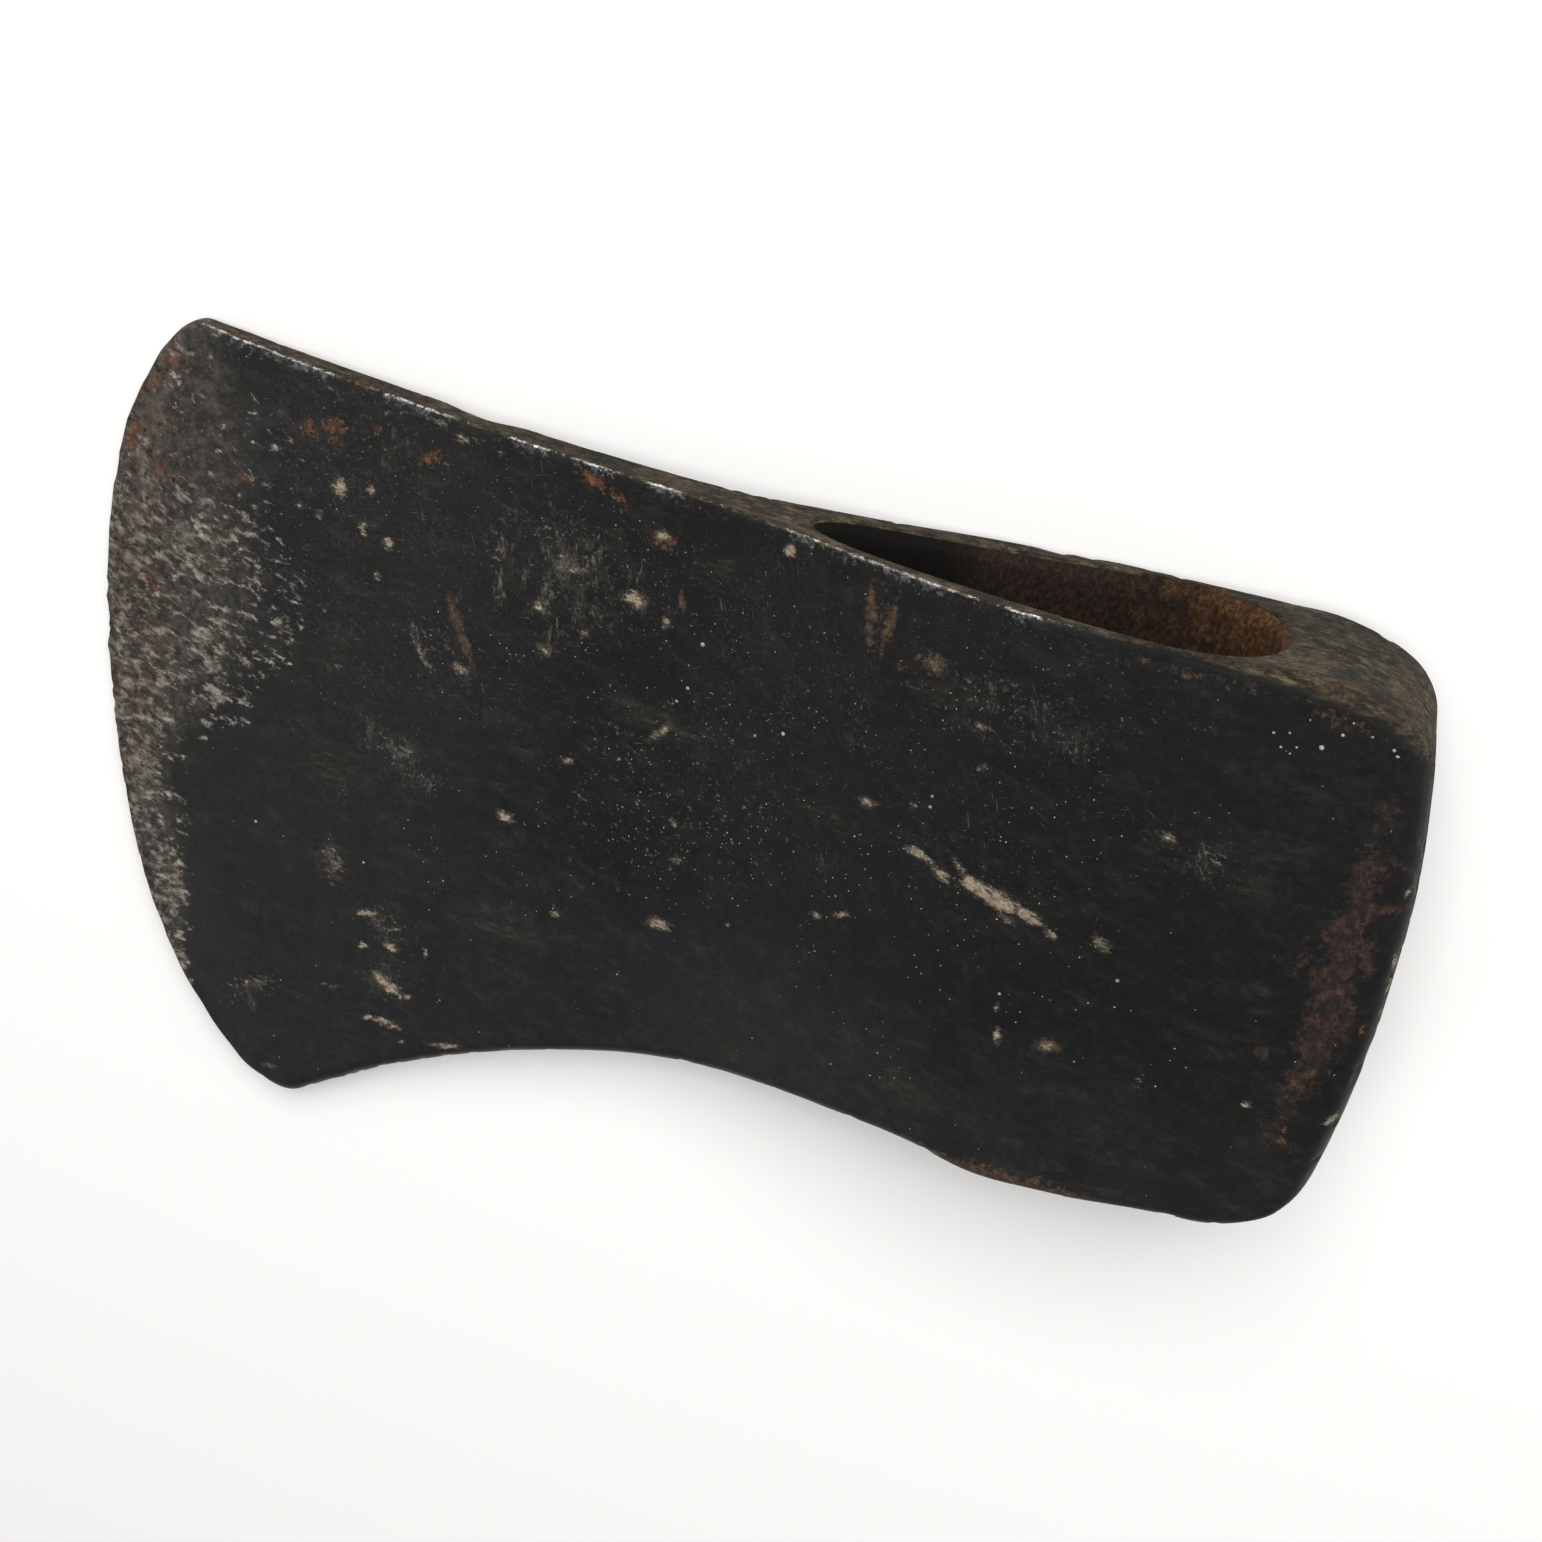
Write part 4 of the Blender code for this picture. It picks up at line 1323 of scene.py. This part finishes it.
    def bare_bit(self, finish: Finish) -> None:
        """Rubs the scale through to the steel behind the cutting edge."""
        coat, patches, grains = finish.steps()
        grain = finish.add("ShaderNodeAttribute", out="Vector", attribute_name="grain")
        long = (self.stroke_length / self.stroke_width, 1, 1)
        strokes = grains(self.stroke_width, 5.0, 0.7, long, bend=0.3, place=grain)
        fine = grains(self.stroke_width / 2, 5.0, 0.75, long, bend=0.3, place=grain)
        blotch = grains(5.0, 6.0, 0.75)
        coat(patches(blotch, ("rubbed", 1.5), 0.8, 0.4, 0.9),
             (grains(1.7, 7.0, 0.8), (0.36, "#1f1d1b"), (0.48, "#32302c"), (0.62, "#504a44")),
             0.6, 0.15)
        coat(patches(blotch, ("toe", 0.74), 0.9, 0.3, 0.85),
             (grains(1.5, 7.0, 0.75), (0.36, "#302c29"), (0.5, "#4b4540"), (0.64, "#6b635c")),
             0.6, 0.2)
        coat(patches(fine, ("bare", 0.6), 1.7, 0.14, 0.6),
             (strokes, (0.36, "#35312d"), (0.62, "#5a534c")), 0.55, 0.2)
        # Bare strokes, gathered in clumps
        spread = finish.add("ShaderNodeMath", {0: blotch, 1: 0.55, 2: strokes},
                            operation="MULTIPLY_ADD")
        steel = finish.add("ShaderNodeMath", {0: fine, 1: 0.4, 2: strokes},
                           operation="MULTIPLY_ADD")
        steel = finish.add("ShaderNodeMath", {0: steel, 1: 0.7}, operation="MULTIPLY")
        bare = finish.add("ShaderNodeMath", {0: spread, 1: 0.275}, operation="SUBTRACT")
        bare = patches(bare, ("bare", 0.82), 1.6, 0.1, 0.92)
        coat(bare, (steel, (0.4, "#3b3631"), (0.49, "#5a524a"), (0.57, "#7d766b"),
                    (0.65, "#a79e90")), 0.5, 0.2, 0.04)
        # A brown tinge, and pits that kept their scale
        tinge = patches(grains(3.4, 6.0, 0.75), ("rubbed", 0.44), 1.4, 0.2, 0.42)
        coat(tinge, (fine, (0.38, "#3f2f28"), (0.62, "#66493b")), 0.7)
        pits = patches(grains(1.7, 6.0, 0.8, bend=0.4), ("rubbed", 0.38), 1.6, 0.08, 0.88)
        coat(pits, "#171513", 0.7, 0.0, -0.06)

    def lay_rust(self, finish: Finish) -> None:
        """Lays the rust, from the widest stain to the smallest patch."""
        coat, patches, grains = finish.steps()
        crumb = grains(self.rust_grain, 7.0, 0.8)
        drift = grains(1.1, 7.0, 0.78, (1, 1.5, 1))
        coat(patches(crumb, ("stain", 0.8), 1.8, 0.15, 0.8),
             (drift, (0.4, "#191413"), (0.5, "#2c201b"), (0.58, "#453026"), (0.68, "#5f4433")), 0.8)
        rusted = patches(crumb, ("rust", 0.76), 2.2, 0.11, 0.85)
        coat(rusted, (drift, (0.38, "#35241d"), (0.5, "#543829"), (0.62, "#7a5138")),
             0.85, 0.0, 0.03)
        coat(patches(crumb, ("brown", 0.95), 2.2, 0.14, 0.78),
             (drift, (0.38, "#2c241f"), (0.5, "#433429"), (0.62, "#65503b")), 0.8, 0.0, 0.01)

    def lay_clay(self, finish: Finish) -> None:
        """Lays the grey rubs, and the dried clay with the smudge around it."""
        coat, patches, grains = finish.steps()
        streaks = grains(0.7, 6.0, 0.75, (2.2, 1, 1), -14)
        coat(patches(streaks, ("grey", 0.62), 2.2, 0.12, 0.72),
             (grains(1.2, 6.0, 0.75), (0.36, "#55514a"), (0.62, "#878173")), 0.55, 0.2)
        cake = grains(self.clay_grain, 8.0, 0.85, (2.0, 1, 1), -10)
        thin = patches(grains(0.5, 5.0, 0.75, (3.5, 1, 1), -14), 0.64, soft=0.12, most=0.94)
        drift = grains(0.7, 6.0, 0.8)
        coat(patches(streaks, ("clay", 1.15), 2.0, 0.2, 0.45),
             (cake, (0.4, "#47413a"), (0.62, "#665e52")), 0.85)
        coat(patches(cake, ("clay", 1.0), 2.5, 0.1, thin),
             (drift, (0.36, "#5f5548"), (0.48, "#867866"), (0.62, "#a99b87")), 0.9, 0.0, 0.05)

    def rub_edge_and_glint(self, finish: Finish) -> None:
        """Rubs the crisp edge above the near cheek to bare steel that is partly a painted
        highlight, and greys the scale just under it.
        """
        coat, patches, grains = finish.steps()
        coat(patches(grains(1.0, 6.0, 0.8), ("edge_rub", 0.48), 2.0, 0.12, 0.72),
             (grains(0.6, 4.0, 0.7), (0.38, "#36383a"), (0.62, "#787978")), 0.5, 0.3)
        # Bare steel on the crisp edge, partly a painted highlight: near-white beads in runs like
        # glints
        glint_beads = grains(0.5, 5.0, 0.85, (1.8, 1, 1))
        coat(patches(glint_beads, ("arris", 1.0), 1.6, 0.1, 0.95),
             (grains(1.0, 4.0, 0.7), (0.4, "#5f5c57"), (0.6, "#cfccc6")), 0.32, 0.8)
        # Pale grit in the chips of the edges
        coat(patches(grains(1.1, 6.0, 0.8), ("chipped", 0.9), 1.6, 0.12, 0.8),
             (grains(0.6, 5.0, 0.8), (0.38, "#4c4232"), (0.62, "#857760")), 0.9)


@dataclass(frozen=True)
class RustedEyeWall:
    """Bare forged steel inside the eye, rusted under the haft that was once driven into it.

    The rust is dry and matt, in crusts from brown to orange towards the poll. Painted shade makes
    it nearly black where the front of the eye pinches together, and darker further down the eye.
    """

    crust: float = 2.6                 # mm, of a crust of rust
    dry: float = 0.92                  # roughness of the rust
    shine: float = 0.15

    def make(self) -> Material:
        """Builds the material."""
        finish = Finish("rusted_eye_wall", self.shine)
        coat, patches, grains = finish.steps()
        crusts = grains(self.crust, 7.0, 0.78, (1, 1.5, 1))
        fine = grains(self.crust / 4, 6.0, 0.8, (1, 1.4, 1))
        bare = finish.add("ShaderNodeMapRange", {"Value": crusts, "From Min": 0.3, "From Max": 0.7,
                                                 "To Min": 0.8, "To Max": 0.95})
        coat(None, (fine, (0.36, "#100c0a"), (0.5, "#1e1611"), (0.64, "#38281c")), bare)
        finish.lift(crusts, 0.3)
        finish.lift(fine, 0.1)
        old = patches(crusts, ("eye_rear", 0.64), 0.9, 0.35, 0.85)
        coat(old, (fine, (0.36, "#1d130e"), (0.52, "#372215"), (0.66, "#52341f")), self.dry)
        fresh = patches(crusts, ("eye_rear", 0.6), 1.3, 0.3, 0.92)
        coat(fresh, (fine, (0.34, "#2c1d13"), (0.5, "#50371f"), (0.64, "#7d5735")),
             self.dry, 0.0, 0.08)
        flakes = patches(grains(1.0, 6.0, 0.8), ("eye_rear", 0.3), 1.4, 0.08, 0.75)
        coat(flakes, (fine, (0.4, "#5c4028"), (0.62, "#8a6843")), self.dry, 0.0, 0.1)
        # Painted shade: nearly black where the front of the eye pinches together
        front_shade = patches(crusts, ("eye_front", 1.0), 0.5, 0.4, 0.88)
        coat(front_shade, "#070806", 0.95)
        # Painted shade, darker further down the eye from its top rim
        coat(patches(crusts, ("eye_depth", 0.9), 0.4, 0.4, 0.6), "#0d0806", 0.95)
        return finish.done()


@dataclass(frozen=True)
class LimeCrust:
    """Spatters of lime wash and old pale paint: dry, chalky and nearly white."""

    white: str = "#a5a299"
    cream: str = "#6f6a5f"

    def make(self) -> Material:
        """Builds the material."""
        finish = Finish("lime_crust", 0.3)
        lumps = finish.grains(1.7, 3.0)
        chalky = finish.add("ShaderNodeMapRange", {"Value": lumps, "From Min": 0.3, "From Max": 0.7,
                                                   "To Min": 0.75, "To Max": 0.9})
        finish.coat(None, (lumps, (0.38, self.cream), (0.62, self.white)), chalky)
        finish.lift(finish.grains(0.12, 2.0), 0.02)
        return finish.done()


# Lime specks on the near cheek: x, y and size in millimetres
NAMED_SPECKS = (
    (-109.6, -24, 0.5), (-91.9, -25.4, 0.4), (-43.6, 23, 0.7), (-45.2, 15.9, 0.6),
    (-46.4, 13.4, 0.5), (-34, 12.2, 0.5), (-53.6, 2.4, 0.5), (-30, 14, 0.6), (-15, 20, 0.6),
    (38, 32.8, 0.7), (40.2, 35, 0.45), (43.7, 35.9, 0.35), (46.4, 34.6, 0.5), (31.9, 33.4, 0.4),
    (33.8, 34.1, 0.35), (33.5, 32, 0.35), (35, 32.3, 0.3), (34.7, 31.3, 0.3), (46.8, 33.8, 0.4),
    (40.8, 36.8, 0.35), (5.2, -17.2, 0.8), (6, -12.5, 0.5), (20.4, -6.3, 0.6), (-8.1, 13, 0.5),
    (-8.4, 11.5, 0.5),
)


@dataclass
class LimeSpecks:
    """Specks of lime spattered over the near cheek, with the largest ones at their own places."""

    per_square_mm: float = 0.14
    smallest: float = 0.08
    largest: float = 0.3
    thickness: float = 0.16            # share of a speck's width
    cheek: Span = (0.8, 0.15)          # share of the normal that looks up
    thick_at: Pair = (-32.0, 4.0)
    thick_reach: Pair = (40.0, 30.0)
    cluster: float = 8.0
    cluster_share: Span = (0.36, 0.3)
    seed: int = 5

    def spatter(self) -> NodeTree:
        """Builds the node tree that spatters specks over a surface.

        Returns:
            A geometry node tree with its sizes as named inputs.
        """
        tree = bpy.data.node_groups.new("lime_spatter", "GeometryNodeTree")
        for name, kind in (("Geometry", "Geometry"), ("Specks per square metre", "Float"),
                           ("Smallest", "Float"), ("Largest", "Float"), ("Thickness", "Float"),
                           ("Seed", "Int"), ("Material", "Material")):
            tree.interface.new_socket(name, in_out="INPUT", socket_type=f"NodeSocket{kind}")
        tree.interface.new_socket("Geometry", in_out="OUTPUT", socket_type="NodeSocketGeometry")
        add = Bench(tree).add
        given = {item.name: add("NodeGroupInput", out=item.name)
                 for item in tree.interface.items_tree if item.in_out == "INPUT"}
        room, length, normal = (
            add("GeometryNodeInputNamedAttribute", {"Name": name}, "Attribute", data_type=kind)
            for name, kind in (("speck_room", "FLOAT"), ("speck_length", "FLOAT"),
                               ("speck_normal", "FLOAT_VECTOR")))
        ball = add("GeometryNodeMeshUVSphere", {"Segments": 7, "Rings": 4, "Radius": 0.5})
        squash = add("ShaderNodeCombineXYZ", {0: 1.0, 1: 1.0, 2: given["Thickness"]})
        # Small specks, scattered at random where there is room
        density = add("ShaderNodeMath", {0: given["Specks per square metre"], 1: room},
                      operation="MULTIPLY")
        points = add("GeometryNodeDistributePointsOnFaces",
                     {"Mesh": given["Geometry"], "Density": density, "Seed": given["Seed"]})
        turn = points.node.outputs["Rotation"]
        least, most = (add("ShaderNodeCombineXYZ", {axis: given[name] for axis in range(3)})
                       for name in ("Smallest", "Largest"))
        size = add("FunctionNodeRandomValue", {0: least, 1: most, "Seed": given["Seed"]},
                   data_type="FLOAT_VECTOR")
        size = add("ShaderNodeVectorMath", {0: size, 1: squash}, operation="MULTIPLY")
        small = add("GeometryNodeInstanceOnPoints",
                    {"Points": points, "Instance": ball, "Rotation": turn, "Scale": size})
        # Named specks, one at each point that has a length
        picked = add("ShaderNodeMath", {0: length, 1: 0.0}, operation="GREATER_THAN")
        points = add("GeometryNodeMeshToPoints", {"Mesh": given["Geometry"], "Selection": picked})
        turn = add("FunctionNodeAlignRotationToVector", {"Vector": normal}, axis="Z")
        size = add("ShaderNodeVectorMath", {0: squash, "Scale": length}, operation="SCALE")
        large = add("GeometryNodeInstanceOnPoints",
                    {"Points": points, "Instance": ball, "Rotation": turn, "Scale": size})
        both = add("GeometryNodeJoinGeometry", {0: small})
        tree.links.new(large, both.node.inputs[0])
        solid = add("GeometryNodeRealizeInstances", {0: both})
        dressed = add("GeometryNodeSetMaterial", {"Geometry": solid, "Material": given["Material"]})
        add("NodeGroupOutput", {0: dressed})
        return tree

    def carrier(self, head: Object, pose: Matrix) -> Object:
        """Copies the head and marks on it where specks may lie.

        Args:
            head: The finished head, in the row's frame.
            pose: Where the head's own axes lie in that frame.

        Returns:
            An object with the attributes that the node tree reads.
        """
        mesh = head.data.copy()
        points, normals = surface_of(mesh)
        own = moved(points, pose.inverted())
        (x, y, z), facing = own.T, normals[:, 2]
        along, across = ((place - middle) / reach for place, middle, reach
                         in zip((x, y), self.thick_at, self.thick_reach))
        middle = np.exp(-along ** 2 - across ** 2)
        room = rise(facing, *self.cheek) * (0.1 + 0.9 * middle) * (z > 0)
        room *= 1.6 * rise(Grit(self.seed).fractal(own, self.cluster), *self.cluster_share)
        length = np.zeros(len(own))
        for speck_x, speck_y, size in NAMED_SPECKS:
            away = np.hypot(x - speck_x, y - speck_y)
            away[facing < self.cheek[0]] = np.inf
            length[np.argmin(away)] = size * MM
        write_fields(mesh, {"speck_room": room, "speck_length": length, "speck_normal": normals})
        return add_object("speck_carrier", mesh)

    def build(self, head: Object, pose: Matrix, material: Material) -> Object:
        """Spatters the specks over the finished head.

        Args:
            head: The finished head, in the row's frame.
            pose: Where the head's own axes lie in that frame.
            material: Finish of the specks.

        Returns:
            The specks as one plain mesh.
        """
        carrier, tree = self.carrier(head, pose), self.spatter()
        spatter = carrier.modifiers.new("lime_spatter", "NODES")
        spatter.node_group = tree
        sizes = {"Specks per square metre": self.per_square_mm / MM ** 2,
                 "Smallest": self.smallest * MM, "Largest": self.largest * MM,
                 "Thickness": self.thickness, "Seed": self.seed, "Material": material}
        for item in tree.interface.items_tree:
            if item.name in sizes:
                spatter[item.identifier] = sizes[item.name]
        plain = plain_mesh(carrier, spatter, "lime_specks")
        bpy.data.objects.remove(carrier)
        for layer in [item.name for item in plain.attributes if item.name.startswith("speck_")]:
            plain.attributes.remove(plain.attributes[layer])
        plain.shade_smooth()
        return add_object("lime_specks", plain)


# Studio

class Side(Enum):
    """Where a soft light stands, as a direction from the head."""

    ABOVE = (0.05, 0.38, 0.92)
    FRONT = (0.10, 0.74, 0.67)
    LEFT = (-0.72, -0.48, 0.50)
    RIGHT = (0.85, 0.10, 0.52)


@dataclass(frozen=True)
class SoftLight:
    """A rectangular soft light that faces the head, in metres and watts."""

    side: Side
    distance: float
    size: Pair
    power: float

    def build(self) -> None:
        """Adds the light."""
        lamp = bpy.data.lights.new(f"soft_{self.side.name.lower()}", "AREA")
        lamp.shape, lamp.energy = "RECTANGLE", self.power
        lamp.size, lamp.size_y = self.size
        obj = add_object(lamp.name, lamp)
        direction = Vector(self.side.value).normalized()
        obj.location = direction * self.distance
        obj.rotation_euler = direction.to_track_quat("Z", "Y").to_euler()


@dataclass(frozen=True)
class Studio:
    """A plain pale table, soft lights, and the camera at the photograph's angle."""

    floor_half: float = 8.0
    floor_colour: str = "#f2f1ef"
    world_colour: str = "#ffffff"
    world_strength: float = 0.25
    camera_place: Triple = (0.0422, 0.15232, 0.28205)
    camera_forward: Triple = (-0.11301, -0.44812, -0.8868)
    camera_up: Triple = (-0.20226, 0.88421, -0.42104)
    lens: float = 51.36
    sensor: float = 36.0
    clip_start: float = 0.01
    lights: tuple[SoftLight, ...] = (
        SoftLight(Side.ABOVE, 1.3, (1.0, 0.8), 8.5), SoftLight(Side.FRONT, 1.1, (0.9, 0.5), 9.0),
        SoftLight(Side.LEFT, 1.3, (0.8, 0.8), 1.8), SoftLight(Side.RIGHT, 1.3, (0.8, 0.8), 2.2),
    )

    def floor(self) -> None:
        """Builds the table top that the head lies on."""
        half = self.floor_half
        corners = [(-half, -half, 0.0), (half, -half, 0.0), (half, half, 0.0), (-half, half, 0.0)]
        mesh = bpy.data.meshes.new("table_top")
        mesh.from_pydata(corners, [], [(0, 1, 2, 3)])
        finish = Finish("pale_table", 0.1)
        finish.coat(None, self.floor_colour, 0.9)
        mesh.materials.append(finish.done())
        table = add_object("table_top", mesh)

    def camera(self) -> None:
        """Adds the camera at the photograph's angle to the head."""
        lens = bpy.data.cameras.new("camera")
        lens.lens, lens.sensor_width, lens.sensor_height = self.lens, self.sensor, self.sensor
        lens.clip_start = self.clip_start
        obj = add_object("camera", lens)
        forward, up = Vector(self.camera_forward).normalized(), Vector(self.camera_up)
        right = forward.cross(up).normalized()
        turn = Matrix((right, right.cross(forward), -forward)).transposed().to_4x4()
        obj.matrix_world = Matrix.Translation(Vector(self.camera_place)) @ turn
        bpy.context.scene.camera = obj

    def build(self) -> None:
        """Sets up the whole studio."""
        self.camera()
        self.floor()
        for light in self.lights:
            light.build()
        world = bpy.data.worlds.new("soft_room")
        world.use_nodes = True
        sky = world.node_tree.nodes["Background"].inputs
        sky["Strength"].default_value = self.world_strength
        sky["Color"].default_value = linear(self.world_colour)
        bpy.context.scene.world = world
        bpy.context.scene.view_settings.view_transform = "Standard"


def main() -> None:
    """Builds the studio, the head and its specks, in that order."""
    logging.basicConfig(level=logging.INFO, format="%(message)s")
    Studio().build()
    maker = ForgedHead(HeadShape())
    head = maker.build(BlackForgeScale().make(), RustedEyeWall().make())
    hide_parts("axe_head")
    specks = LimeSpecks().build(head, maker.laid_down, LimeCrust().make())
    for piece in (head, specks):
        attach(piece, BODY)
        log.info("%s: %d faces", piece.name, len(piece.data.polygons))


if __name__ == "__main__":
    main()
